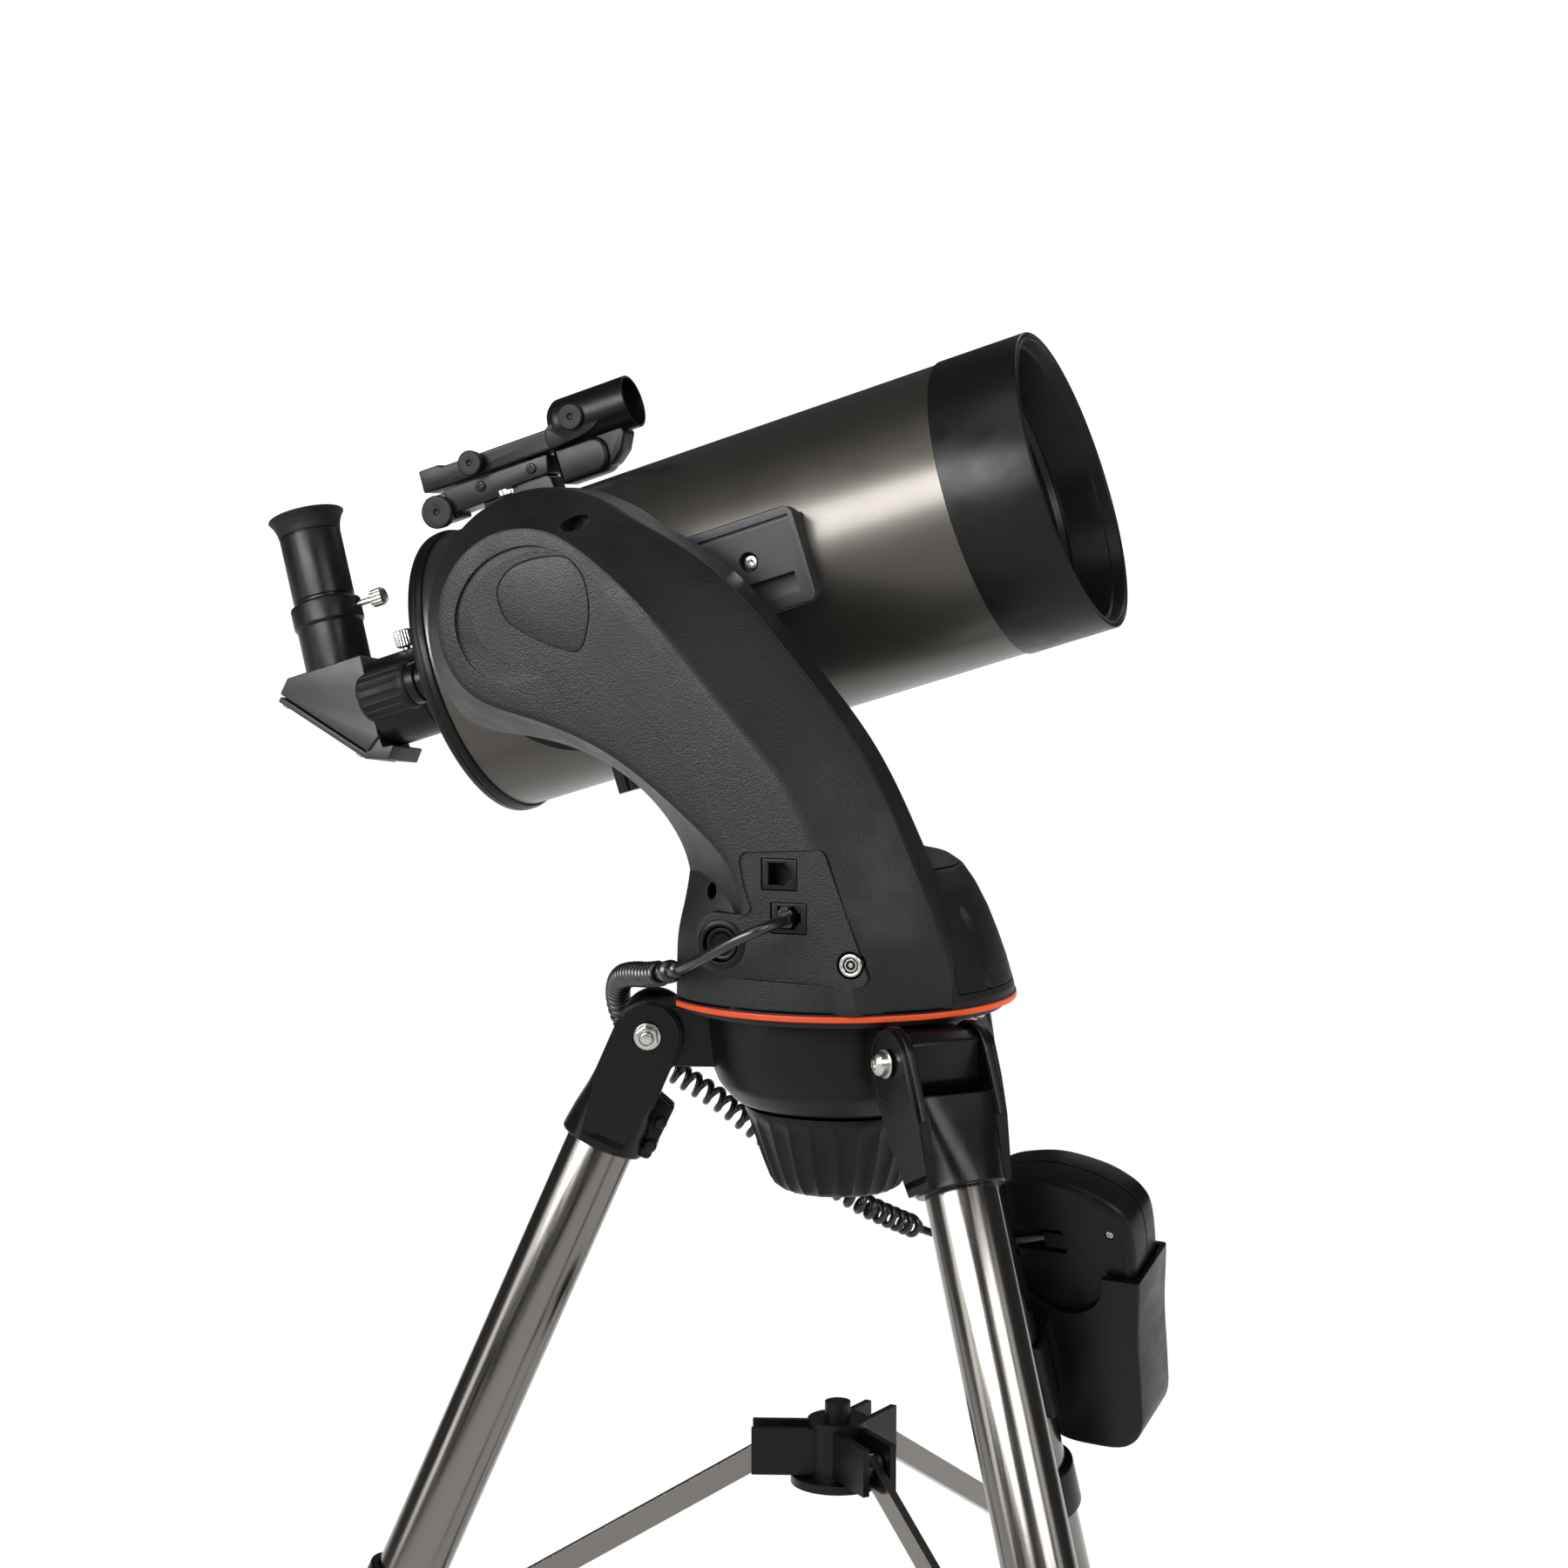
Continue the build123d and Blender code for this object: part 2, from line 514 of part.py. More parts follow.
def finder_bracket():
    """Shoe and lower bracket of the finder, on top of the tube."""
    bracket = box(-84, -32, FINDER_SIDE - 9, FINDER_SIDE + 9, 79, 92)
    bracket += box(-66, -36, FINDER_SIDE - 7, FINDER_SIDE + 7, 60, 80)
    bracket += box(-100, -83, FINDER_SIDE - 7, FINDER_SIDE + 9, 77, 91)
    bracket += box(-41, -32, FINDER_SIDE - 3, FINDER_SIDE + 3, 91, 101)
    bracket -= rod_y(2.05, FINDER_SIDE - 12, FINDER_SIDE + 12, -36.5, 97)
    for s in (-66.9, -37.8):
        bracket += rod_y(2.6, FINDER_SIDE - 9.8, FINDER_SIDE - 8, s, 88.2)
    bracket -= rod_y(2.55, FINDER_SIDE - 12, FINDER_SIDE + 4, -92.6, 82.6)
    return bracket - rod_x(TUBE_R, -200, 200)


def finder_sight():
    """Reflex sight: top bar, lens tube, and the battery housing under it."""
    sight = box(-97, -22, FINDER_SIDE - 10, FINDER_SIDE + 10, 93.5, 104)
    sight += rod_x(13.3, -22, 21, FINDER_SIDE, 104.5)
    sight += rod_y(6.6, FINDER_SIDE - 16, FINDER_SIDE - 11, -7.9, 105.2)
    housing = box(-24, 3, FINDER_SIDE - 9, FINDER_SIDE + 9, 76, 98)
    sight += fillet(housing.edges().filter_by(Axis.Y).sort_by(Axis.Z)[:2], 7)
    neck = Polyline((0, 98), (14, 98), (14, 88), (2, 77), (-4, 77), (-4, 98), close=True)
    sight += extrude(face_at(FINDER_SIDE + 6) * make_face(neck), 12)
    sight -= box(-43, -29, FINDER_SIDE - 3.3, FINDER_SIDE + 3.3, 92, 102.5)
    sight += rod_y(2.0, FINDER_SIDE - 9, FINDER_SIDE + 9, -36.5, 97)
    sight -= rod_x(11.6, -19, 30, FINDER_SIDE, 104.5)
    sight -= rod_x(5, -30, 30, FINDER_SIDE, 106)
    return sight - rod_y(2.55, FINDER_SIDE - 12, FINDER_SIDE + 4, -66.5, 100)


def finder_knob(s, h, r, y):
    """Round thumb knob on a short shaft, on the finder's arm side; y is its inner face."""
    knob = rod_y(r, y - 6, y, s, h) + rod_y(2.5, y - 1, FINDER_SIDE + 3, s, h)
    return knob - rod_y(1.6, y - 7, y - 5, s, h)


def diagonal_housing():
    """Star diagonal: nosepiece, prism box and eyepiece holder; drawn upright."""
    outline = [(-201, 25), (-156.8, 24.5), (-156.8, -19), (-165, -24.6), (-207, 18.3)]
    body = prism_y(outline, -17, 17)
    body += prism_y([(-165, -20), (-157.2, -20), (-157.2, -24.5), (-149.5, -25), (-155, -32), (-168, -27)], -12, 12)
    body += rod_x(BARREL_R, -158, -124)
    body += rod_z(17, 24, 59, EYE_S) + rod_z(18.2, 49, 60, EYE_S)
    body += rod_x(4, -163, -158.5, 0, 48.5)
    inner = [(-199, 22), (-160, 22), (-160, -16), (-165, -20.4), (-203, 17)]
    body -= prism_y(inner, -14.5, 14.5)
    body -= rod_z(BARREL_R + RUNNING, 28, 62, EYE_S) + rod_z(13.5, 15, 30, EYE_S)
    body -= rod_x(13.5, -165, -120)
    return body - rod_x(2.05, -168, -150, 0, 48.5)


def diagonal_mirror():
    slope = Polyline((-165.5, -18.6), (-202.0, 16.4), (-199.4, 19.1), (-162.8, -15.9), close=True)
    return extrude(face_at(14) * make_face(slope), 28)


def diagonal_screw():
    screw = rod_x(4.5, -152, -144.5, 0, 48.5) + rod_x(2, -163.05, -151, 0, 48.5)
    for i in range(16):
        a = i * pi / 8
        screw -= rod_x(0.5, -153, -144, 4.6 * cos(a), 48.5 + 4.6 * sin(a))
    return screw


def eyepiece():
    """Eyepiece with its barrel in the holder, a flared eyecup and its lenses."""
    body = turned_z([(0, 33), (12, 33), (12, 31), (BARREL_R, 31), (BARREL_R, 61), (15.6, 62), (15.6, 98),
                     (16.4, 99), (18.4, 107.5), (17.4, 108.5), (14, 105), (9, 105), (9, 103), (0, 103)])
    return Pos(EYE_S, 0, 0) * body


# ---------------------------------------------------------------- hand control


def hand_outline(grow):
    """Hand control seen from behind: wide rounded top, narrower grip."""
    half = [(22, 3.6), (35, 9.5), (43, 17), (46, 28), (43.5, 54), (36, 92), (31, 130), (27, 152), (17, 163)]
    points = [(0, -grow)]
    points += [(x + grow, d - grow if d < 12 else d) for x, d in half]
    points += [(0, HAND_LENGTH + grow)]
    points += [(-x - grow, d - grow if d < 12 else d) for x, d in reversed(half)]
    return make_face(Spline(*[(HAND_SIDE + x, -HAND_TOP - d) for x, d in points], periodic=True))


def handset_shell():
    shell = extrude(Plane.YZ.offset(HAND_BACK) * hand_outline(0), HAND_FRONT - HAND_BACK)
    shell = chamfer(shell.edges().group_by(Axis.X)[0] + shell.edges().group_by(Axis.X)[-1], 3)
    shell -= box(HAND_FRONT - 2, HAND_FRONT + 5, HAND_SIDE - 30, HAND_SIDE + 30, -HAND_TOP - 118, -HAND_TOP - 52)
    shell -= box(HAND_FRONT - 1, HAND_FRONT + 5, HAND_SIDE - 31, HAND_SIDE + 31, -HAND_TOP - 42, -HAND_TOP - 17)
    shell -= box(HAND_BACK - 5, HAND_BACK + 9, HAND_SIDE - 7, HAND_SIDE + 33, -HAND_TOP - 46, -HAND_TOP - 32)
    return shell


def handset_keypad():
    """Moulded key mat and the display window, on the hand control's front."""
    mat = box(HAND_FRONT - 2, HAND_FRONT - 0.5, HAND_SIDE - 29.6, HAND_SIDE + 29.6, -HAND_TOP - 117.6, -HAND_TOP - 52.4)
    for row in range(6):
        for column in range(3):
            y = HAND_SIDE + (column - 1) * 18
            z = -HAND_TOP - 59 - row * 10.4
            mat += box(HAND_FRONT - 1, HAND_FRONT + 1.2, y - 6, y + 6, z - 3.4, z + 3.4)
    window = box(HAND_FRONT - 1, HAND_FRONT - 0.2, HAND_SIDE - 30.6, HAND_SIDE + 30.6, -HAND_TOP - 41.6, -HAND_TOP - 17.4)
    return Compound(children=[mat, window])


def handset_holder():
    """Cradle with a spring clip round the leg tube."""
    block = extrude(Plane.YZ.offset(HAND_BACK - 3.5) * hand_outline(3.8), HAND_FRONT - HAND_BACK + 7)
    block -= box(0, 90, -120, 90, -HAND_TOP - 55, 0)
    block -= extrude(Plane.YZ.offset(HAND_BACK - 0.5) * hand_outline(0.8), HAND_FRONT - HAND_BACK + 2.6)
    front = box(HAND_FRONT + 1, 80, HAND_SIDE - 34, HAND_SIDE + 34, -HAND_TOP - 128, 0)
    block -= front
    clip = rod_z(20, -250, -205) - rod_z(LEG_TUBE_R + 0.1, -251, -204)
    clip -= box(-30, -4, -40, 40, -260, -200)
    clip += box(17, HAND_BACK - 3, -14, 8, -250, -205)
    return block + clip


def cord_plug():
    """Plug in the socket at the side of the recess in the hand control's back."""
    return box(HAND_BACK + 2, HAND_BACK + 9, HAND_SIDE - 7, HAND_SIDE + 5.5, -HAND_TOP - 43.5, -HAND_TOP - 34.5)


# ---------------------------------------------------------------- cord


def cord_tube(name, route, radius):
    """Straight runs joined by arcs, each arc as large as its two runs allow."""
    points = [Vector(x, y, z + MOUNT_Z) for x, y, z in route]
    radii = []
    for before, at, after in zip(points, points[1:], points[2:]):
        turn = (at - before).get_angle(after - at)
        shorter = min((at - before).length, (after - at).length)
        radii.append(0.45 * shorter / tan(radians(turn) / 2))
    path = FilletPolyline(*points, radius=radii)
    start = Plane(origin=path @ 0, z_dir=path % 0)
    solid = sweep(start * Circle(radius), path=path)
    print(name, "radii", [round(r) for r in radii], "length", round(path.length),
          "volume ratio", round(solid.volume / (pi * radius**2 * path.length), 3))
    return solid


def main():
    os.makedirs("parts", exist_ok=True)
    save("tripod_head", tripod_head(), MOUNT)
    save("hinge_bolts", hinge_bolts())
    save("mount_knob", mount_knob(), MOUNT)
    save("tray_hub", tray_hub())
    for leg, frame in LEGS.items():
        save(f"leg_{leg}_fittings", leg_fittings(), frame)
        save(f"leg_{leg}_tube", leg_tube(), frame)
        save(f"leg_{leg}_lock_knob", lock_knob(), frame)
        save(f"leg_{leg}_extension", leg_extension(), frame)
        save(f"leg_{leg}_foot", leg_foot(frame))
        save(f"leg_{leg}_strut", strut(), strut_location(LEG_AZIMUTHS[leg]))

    save("base_housing", base_housing(), MOUNT)
    save("accent_ring", accent_ring(), MOUNT)
    save("battery_door", battery_door(), MOUNT)
    save("arm_outer_shell", arm_outer_shell(), MOUNT)
    save("arm_inner_shell", arm_inner_shell(), MOUNT)
    save("port_sockets", port_sockets(), MOUNT)
    save("power_button", power_button(), MOUNT)
    save("azimuth_gear", azimuth_gear(), MOUNT)
    save("altitude_gear", altitude_gear(), MOUNT)
    save("drive_motors", drive_motors(), MOUNT)

    swivel = OTA * Rot(-SWIVEL_REST, 0, 0)
    save("dovetail_clamp", dovetail_clamp(), OTA)
    save("clamp_knob", clamp_knob(), OTA)
    save("tube", tube(), OTA)
    save("front_cell", front_cell(), OTA)
    save("corrector_lens", corrector_lens(), OTA)
    save("rear_cell", rear_cell(), OTA)
    save("primary_mirror", primary_mirror(), OTA)
    save("baffle_tube", baffle_tube(), OTA)
    save("visual_back", visual_back(), OTA)
    save("visual_back_screw", visual_back_screw(), OTA)
    save("focus_knob", focus_knob(), OTA)
    save("dovetail_rail", dovetail_rail(), OTA)
    save("finder_bracket", finder_bracket(), OTA)
    save("finder_sight", finder_sight(), OTA)
    save("finder_knob_rear", finder_knob(-92.6, 82.6, 8.3, FINDER_SIDE - 7.4), OTA)
    save("finder_knob_top", finder_knob(-66.5, 100, 6.3, FINDER_SIDE - 10.4), OTA)
    save("diagonal_housing", diagonal_housing(), swivel)
    save("diagonal_mirror", diagonal_mirror(), swivel)
    save("diagonal_screw", diagonal_screw(), swivel)
    save("eyepiece", eyepiece(), swivel)

    save("handset_shell", handset_shell(), LEGS["c"])
    save("handset_keypad", handset_keypad(), LEGS["c"])
    save("handset_holder", handset_holder(), LEGS["c"])
    save("cord_plug", cord_plug(), LEGS["c"])
    save("cord_lead", cord_tube("cord_lead", LEAD_ROUTE, LEAD_R))
    save("cord_coil", cord_tube("cord_coil", COIL_ROUTE, COIL_R))
    save("cord_sag", cord_tube("cord_sag", SAG_ROUTE, COIL_R))
    save("cord_tail", cord_tube("cord_tail", TAIL_ROUTE, LEAD_R))


main()
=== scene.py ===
"""Looks of the telescope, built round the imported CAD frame. Metres, +Z up; helpers take millimetres."""
import bmesh
import bpy
import json
import numpy as np
from math import atan2, cos, pi, radians, sin, sqrt, tan
from mathutils import Matrix, Vector


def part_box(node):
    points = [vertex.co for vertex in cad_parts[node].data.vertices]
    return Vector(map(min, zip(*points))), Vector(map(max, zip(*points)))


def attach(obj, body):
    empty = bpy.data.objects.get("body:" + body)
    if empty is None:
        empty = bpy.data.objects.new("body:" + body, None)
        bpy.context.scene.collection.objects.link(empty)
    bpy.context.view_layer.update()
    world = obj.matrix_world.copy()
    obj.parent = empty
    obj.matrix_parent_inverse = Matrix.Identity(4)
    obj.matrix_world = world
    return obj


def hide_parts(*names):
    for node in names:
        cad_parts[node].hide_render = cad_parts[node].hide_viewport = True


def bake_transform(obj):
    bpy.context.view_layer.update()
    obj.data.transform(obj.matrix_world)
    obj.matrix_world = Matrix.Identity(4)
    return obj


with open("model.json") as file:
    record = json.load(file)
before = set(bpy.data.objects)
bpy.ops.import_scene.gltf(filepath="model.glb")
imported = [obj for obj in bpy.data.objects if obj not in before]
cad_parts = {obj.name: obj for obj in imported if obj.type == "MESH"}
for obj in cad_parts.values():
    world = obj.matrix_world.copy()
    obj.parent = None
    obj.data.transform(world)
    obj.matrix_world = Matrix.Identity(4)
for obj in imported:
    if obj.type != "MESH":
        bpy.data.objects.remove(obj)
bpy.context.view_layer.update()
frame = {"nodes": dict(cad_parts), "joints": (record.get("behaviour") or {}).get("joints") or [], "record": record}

MM = 0.001
JOINTS = {j["name"]: j for j in frame["joints"]}

# ---------------------------------------------------------------- frames


def axes_matrix(origin, x, z):
    """Frame at origin with the given X and Z directions."""
    x, z = Vector(x).normalized(), Vector(z).normalized()
    y = z.cross(x)
    m = Matrix((x, y, z)).transposed().to_4x4()
    m.translation = origin
    return m


def middle(node, axis):
    """Middle of a CAD node along axis 0, 1 or 2."""
    low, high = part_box(node)
    return (low[axis] + high[axis]) / 2


RING_Z = middle("accent_ring", 2)
MOUNT = Matrix.Translation((0, 0, RING_Z))
ALTITUDE_AXIS = Vector(JOINTS["altitude"]["pos_m"])
TUBE_X = Vector(JOINTS["tube_balance"]["axis"]).normalized()
TUBE_UP = TUBE_X.cross(Vector((0, 1, 0)))
OTA = axes_matrix((ALTITUDE_AXIS.x, middle("tube", 1), ALTITUDE_AXIS.z), TUBE_X, TUBE_UP)
DIAGONAL_SWIVEL = radians(8)
DIAGONAL = OTA @ Matrix.Rotation(-DIAGONAL_SWIVEL, 4, "X")


def leg_matrix(leg):
    """Frame of a leg: its hinge is the origin, and Z runs up the leg."""
    fold, extend = JOINTS[f"leg_{leg}_fold"], JOINTS[f"leg_{leg}_extend"]
    up = -Vector(extend["axis"])
    return axes_matrix(Vector(fold["pos_m"]), Vector(fold["axis"]).cross(up), up)


LEGS = {leg: leg_matrix(leg) for leg in "abc"}

# ---------------------------------------------------------------- materials


class Nodes:
    """Small wrapper round a material's node tree."""

    def __init__(self, name, color, roughness, metallic=0.0, **inputs):
        self.color = color
        self.material = bpy.data.materials.new(name)
        self.material.use_nodes = True
        self.tree = self.material.node_tree
        self.shader = self.tree.nodes["Principled BSDF"]
        self.fill(self.shader, Base_Color=(*color, 1), Roughness=roughness, Metallic=metallic, **inputs)
        self.coords = self.new("TexCoord").outputs["Object"]

    def fill(self, node, **inputs):
        """Sets a node's inputs; an underscore stands for a space."""
        for key, value in inputs.items():
            node.inputs[key.replace("_", " ")].default_value = value

    def new(self, kind, **inputs):
        node = self.tree.nodes.new("ShaderNode" + kind)
        self.fill(node, **inputs)
        return node

    def link(self, a, b):
        self.tree.links.new(a, b)

    def textured(self, node, stretch=None):
        """Gives a texture node its place in the object, stretched if asked."""
        source = self.coords
        if stretch:
            mapping = self.new("Mapping", Scale=stretch)
            self.link(source, mapping.inputs["Vector"])
            source = mapping.outputs["Vector"]
        self.link(source, node.inputs["Vector"])

    def noise(self, size_mm, detail=2.0, stretch=None):
        """Noise whose features are about size_mm across."""
        node = self.new("TexNoise", Scale=1000 / size_mm, Detail=detail)
        self.textured(node, stretch)
        return node.outputs["Fac"]

    def cells(self, size_mm):
        """Rounded cells about size_mm across."""
        node = self.new("TexVoronoi", Scale=1000 / size_mm)
        node.feature = "SMOOTH_F1"
        self.textured(node)
        return node.outputs["Distance"]

    def bump(self, height, depth_mm, below=None, rounding_mm=0.0):
        """Relief on top of the relief below it, or of edges that look rounded."""
        node = self.new("Bump", Strength=1.0, Distance=depth_mm * MM)
        self.link(height, node.inputs["Height"])
        if below is not None:
            self.link(below, node.inputs["Normal"])
        elif rounding_mm:
            edge = self.new("Bevel", Radius=rounding_mm * MM)
            edge.samples = 4
            self.link(edge.outputs["Normal"], node.inputs["Normal"])
        self.link(node.outputs["Normal"], self.shader.inputs["Normal"])
        return node.outputs["Normal"]

    def vary(self, socket, fac, low, high):
        """The socket goes from low to high as fac goes over its middle range."""
        node = self.new("MapRange", From_Min=0.3, From_Max=0.7, To_Min=low, To_Max=high)
        self.link(fac, node.inputs["Value"])
        self.link(node.outputs["Result"], self.shader.inputs[socket])

    def tint(self, fac, darker, lighter):
        """The colour goes between two multiples of itself with fac."""
        node = self.new("Mix")
        node.data_type = "RGBA"
        self.fill(node, A=(*[c * darker for c in self.color], 1), B=(*[c * lighter for c in self.color], 1))
        self.link(fac, node.inputs["Factor"])
        self.link(node.outputs["Result"], self.shader.inputs["Base Color"])


def grained(name, color, roughness, grain_mm, depth_mm):
    """Moulded plastic with a leather-like grain."""
    n = Nodes(name, color, roughness, Specular_IOR_Level=0.26)
    below = n.bump(n.cells(grain_mm), depth_mm, rounding_mm=0.5)
    n.bump(n.noise(grain_mm * 0.45, 3), depth_mm * 0.6, below)
    n.vary("Roughness", n.noise(18, 3), roughness - 0.06, roughness + 0.08)
    n.tint(n.noise(30), 0.9, 1.12)
    return n.material


def smooth_plastic(name, color, roughness, fine_mm=0.35, depth_mm=0.008, metallic=0.0, specular=0.18):
    """Fine-textured plastic or paint, with faint wear in its gloss."""
    n = Nodes(name, color, roughness, metallic, Specular_IOR_Level=specular)
    n.bump(n.noise(fine_mm), depth_mm, rounding_mm=0.3)
    n.vary("Roughness", n.noise(12, 4), max(0.05, roughness - 0.05), roughness + 0.07)
    n.tint(n.noise(25), 0.92, 1.1)
    return n.material


def steel(name, color, roughness, stretch=(40, 40, 1)):
    """Polished or brushed metal, with fine lines along Z."""
    n = Nodes(name, color, roughness, 1.0)
    n.bump(n.noise(20, 3, stretch), 0.01, rounding_mm=0.2)
    n.vary("Roughness", n.noise(40, 3, stretch), roughness - 0.05, roughness + 0.06)
    return n.material


def paint_flake(name, color, roughness):
    """Metallic enamel: fine flakes under a clear coat."""
    n = Nodes(name, color, roughness, 0.75, Coat_Weight=0.25, Coat_Roughness=0.18)
    n.bump(n.noise(0.5), 0.006, rounding_mm=0.3)
    n.tint(n.noise(0.9), 0.9, 1.12)
    n.vary("Roughness", n.noise(40, 3), roughness - 0.03, roughness + 0.04)
    return n.material


def coated_glass(name, color):
    """Clear glass under a bluish coating."""
    n = Nodes(name, color, 0.02, Transmission_Weight=1.0, IOR=1.5, Coat_Weight=1.0, Coat_Roughness=0.02,
              Coat_Tint=(0.35, 0.6, 0.75, 1))
    return n.material


def mirror(name):
    """Silvered glass, very slightly uneven."""
    n = Nodes(name, (0.9, 0.91, 0.92), 0.02, 1.0)
    n.bump(n.noise(60, 1), 0.002)
    return n.material


# One housing plastic in two tones: the arm's outer half is about a fifth lighter than the inner half, dome and
# door. The lighter tone is painted light on the arm's face, and the darker tone is painted shade on the parts
# below and behind it. Their grain differs as well.
LIT_HOUSING = grained("housing_grain_lit", (0.0080, 0.0084, 0.0089), 0.44, 0.75, 0.15)
SHADED_HOUSING_FINE = grained("housing_fine", (0.0065, 0.0068, 0.0072), 0.42, 0.7, 0.07)
BLACK = smooth_plastic("black_plastic", (0.0050, 0.0052, 0.0055), 0.34)
BLACK_MATT = smooth_plastic("black_matt", (0.01, 0.0103, 0.0108), 0.5)
ORANGE = smooth_plastic("orange_trim", (0.80, 0.085, 0.018), 0.36)
CASTING = smooth_plastic("black_enamel", (0.0045, 0.0048, 0.0054), 0.26, 1.2, 0.03)
STEEL = steel("leg_steel", (0.19, 0.180, 0.168), 0.19)
PLATED = steel("plated_steel", (0.50, 0.49, 0.46), 0.24, (6, 6, 6))
TUBE_PAINT = paint_flake("tube_enamel", (0.068, 0.062, 0.054), 0.34)
CELL = smooth_plastic("cell_satin", (0.0058, 0.0058, 0.0061), 0.33)
ANODISED = smooth_plastic("black_anodised", (0.013, 0.0133, 0.0143), 0.32, 0.25, 0.006, 0.3)
GREY_ANODISED = smooth_plastic("grey_anodised", (0.036, 0.0372, 0.0395), 0.40, 0.25, 0.006, 0.4)
BAFFLE = smooth_plastic("baffle_black", (0.006, 0.006, 0.006), 0.7)
RUBBER = smooth_plastic("black_rubber", (0.010, 0.010, 0.0104), 0.58, 0.4, 0.02)
VINYL = smooth_plastic("cord_vinyl", (0.006, 0.0063, 0.0066), 0.28, specular=0.6)
KEYS = smooth_plastic("key_rubber", (0.05, 0.05, 0.055), 0.55)
BRASS = smooth_plastic("worm_brass", (0.55, 0.40, 0.17), 0.3, 0.4, 0.01, 1.0)
MOTOR = smooth_plastic("motor_can", (0.3, 0.3, 0.31), 0.4, 0.4, 0.01, 0.8)
CLEAR = coated_glass("coated_glass", (0.72, 0.82, 0.8))
MIRROR = mirror("silvered_glass")

SLOT_MATERIALS = {
    "black_housing": LIT_HOUSING, "orange_trim": ORANGE, "black_casting": CASTING, "bright_steel": STEEL,
    "tube_paint": TUBE_PAINT, "cell_black": CELL, "black_anodised": ANODISED, "plated_steel": PLATED,
    "coated_glass": CLEAR, "silvered_glass": MIRROR, "matt_baffle": BAFFLE, "black_rubber": RUBBER,
    "cord_black": VINYL, "key_rubber": KEYS, "worm_brass": BRASS, "motor_steel": MOTOR,
    "black_plastic": BLACK,
}
SLOT_OF = {material.name: slot for slot, material in SLOT_MATERIALS.items()}
SLOT_OF.update(housing_fine="black_housing", black_matt="black_plastic", grey_anodised="black_anodised")
for part in frame["record"]["subparts"]:
    node = frame["nodes"][part["node"]]
    node.data.materials.clear()
    node.data.materials.append(SLOT_MATERIALS[part["material_slot"]])

# ---------------------------------------------------------------- mesh helpers

# For each axis, a point from its place along the axis and the two others.
PLACE = {"X": lambda a, u, v: (a, u, v), "Y": lambda a, u, v: (u, a, v), "Z": lambda a, u, v: (u, v, a)}


def solid(verts, faces):
    """Mesh with merged points and outward normals."""
    mesh = bpy.data.meshes.new("solid")
    mesh.from_pydata([tuple(v) for v in verts], [], faces)
    work = bmesh.new()
    work.from_mesh(mesh)
    bmesh.ops.remove_doubles(work, verts=work.verts, dist=1e-5)
    bmesh.ops.recalc_face_normals(work, faces=work.faces)
    work.to_mesh(mesh)
    work.free()
    return mesh


def skin(rings):
    """Solid through rings of equally many points, flat at both ends."""
    n = len(rings[0])
    faces = [tuple(range(n)), tuple(range((len(rings) - 1) * n, len(rings) * n))]
    for k in range(len(rings) - 1):
        for i in range(n):
            j = (i + 1) % n
            faces.append((k * n + i, k * n + j, (k + 1) * n + j, (k + 1) * n + i))
    return solid([p for ring in rings for p in ring], faces)


def lathe(profile, axis="X", sides=96, at=(0, 0), ribs=0, depth=0.0, sharp=1.0):
    """Closed (length, radius) profile turned about an axis; points with a third number are ribbed."""
    n, place, verts, faces = len(profile), PLACE[axis], [], []
    for k in range(sides):
        t = 2 * pi * k / sides
        dip = depth * abs(sin(ribs * t / 2)) ** sharp
        for point in profile:
            r = point[1] - (dip * point[2] if len(point) > 2 else 0)
            verts.append(place(point[0], at[0] + r * cos(t), at[1] + r * sin(t)))
    for k in range(sides):
        for i in range(n):
            j = (i + 1) % n
            if profile[i][1] or profile[j][1]:
                after = (k + 1) % sides * n
                faces.append((k * n + i, k * n + j, after + j, after + i))
    return solid(verts, faces)


def rounded(points, radius, steps=4):
    """Closed polygon with its corners rounded; a third number in a point is its own radius."""
    result = []
    for i, point in enumerate(points):
        here, own = Vector(point[:2]), point[2] if len(point) > 2 else radius
        a = Vector(points[i - 1][:2]) - here
        b = Vector(points[(i + 1) % len(points)][:2]) - here
        half = a.angle(b) / 2
        reach = min(own / tan(half), 0.45 * a.length, 0.45 * b.length)
        if reach < 1e-3 or half > 1.56:
            result.append(tuple(here))
            continue
        a.normalize()
        b.normalize()
        r = reach * tan(half)
        centre = here + (a + b).normalized() * (r / sin(half))
        start, end = here + a * reach - centre, here + b * reach - centre
        t = atan2(start.y, start.x)
        turn = (atan2(end.y, end.x) - t + pi) % (2 * pi) - pi
        for k in range(steps + 1):
            result.append((centre.x + r * cos(t + turn * k / steps), centre.y
                           + r * sin(t + turn * k / steps)))
    return result


def inset(outline, distance):
    """Closed outline moved inward by a distance."""
    n = len(outline)
    area = sum(outline[i - 1][0] * outline[i][1] - outline[i][0] * outline[i - 1][1] for i in range(n))
    side = 1 if area > 0 else -1
    result = []
    for i in range(n):
        here = Vector(outline[i])
        a = (here - Vector(outline[i - 1])).normalized()
        b = (Vector(outline[(i + 1) % n]) - here).normalized()
        normal = Vector((-a.y - b.y, a.x + b.x)) * side
        if normal.length < 1e-6:
            result.append(tuple(here))
            continue
        normal.normalize()
        cosine = max(0.4, abs(normal.dot(Vector((-a.y, a.x)))))
        result.append(tuple(here + normal * (distance / cosine)))
    return result


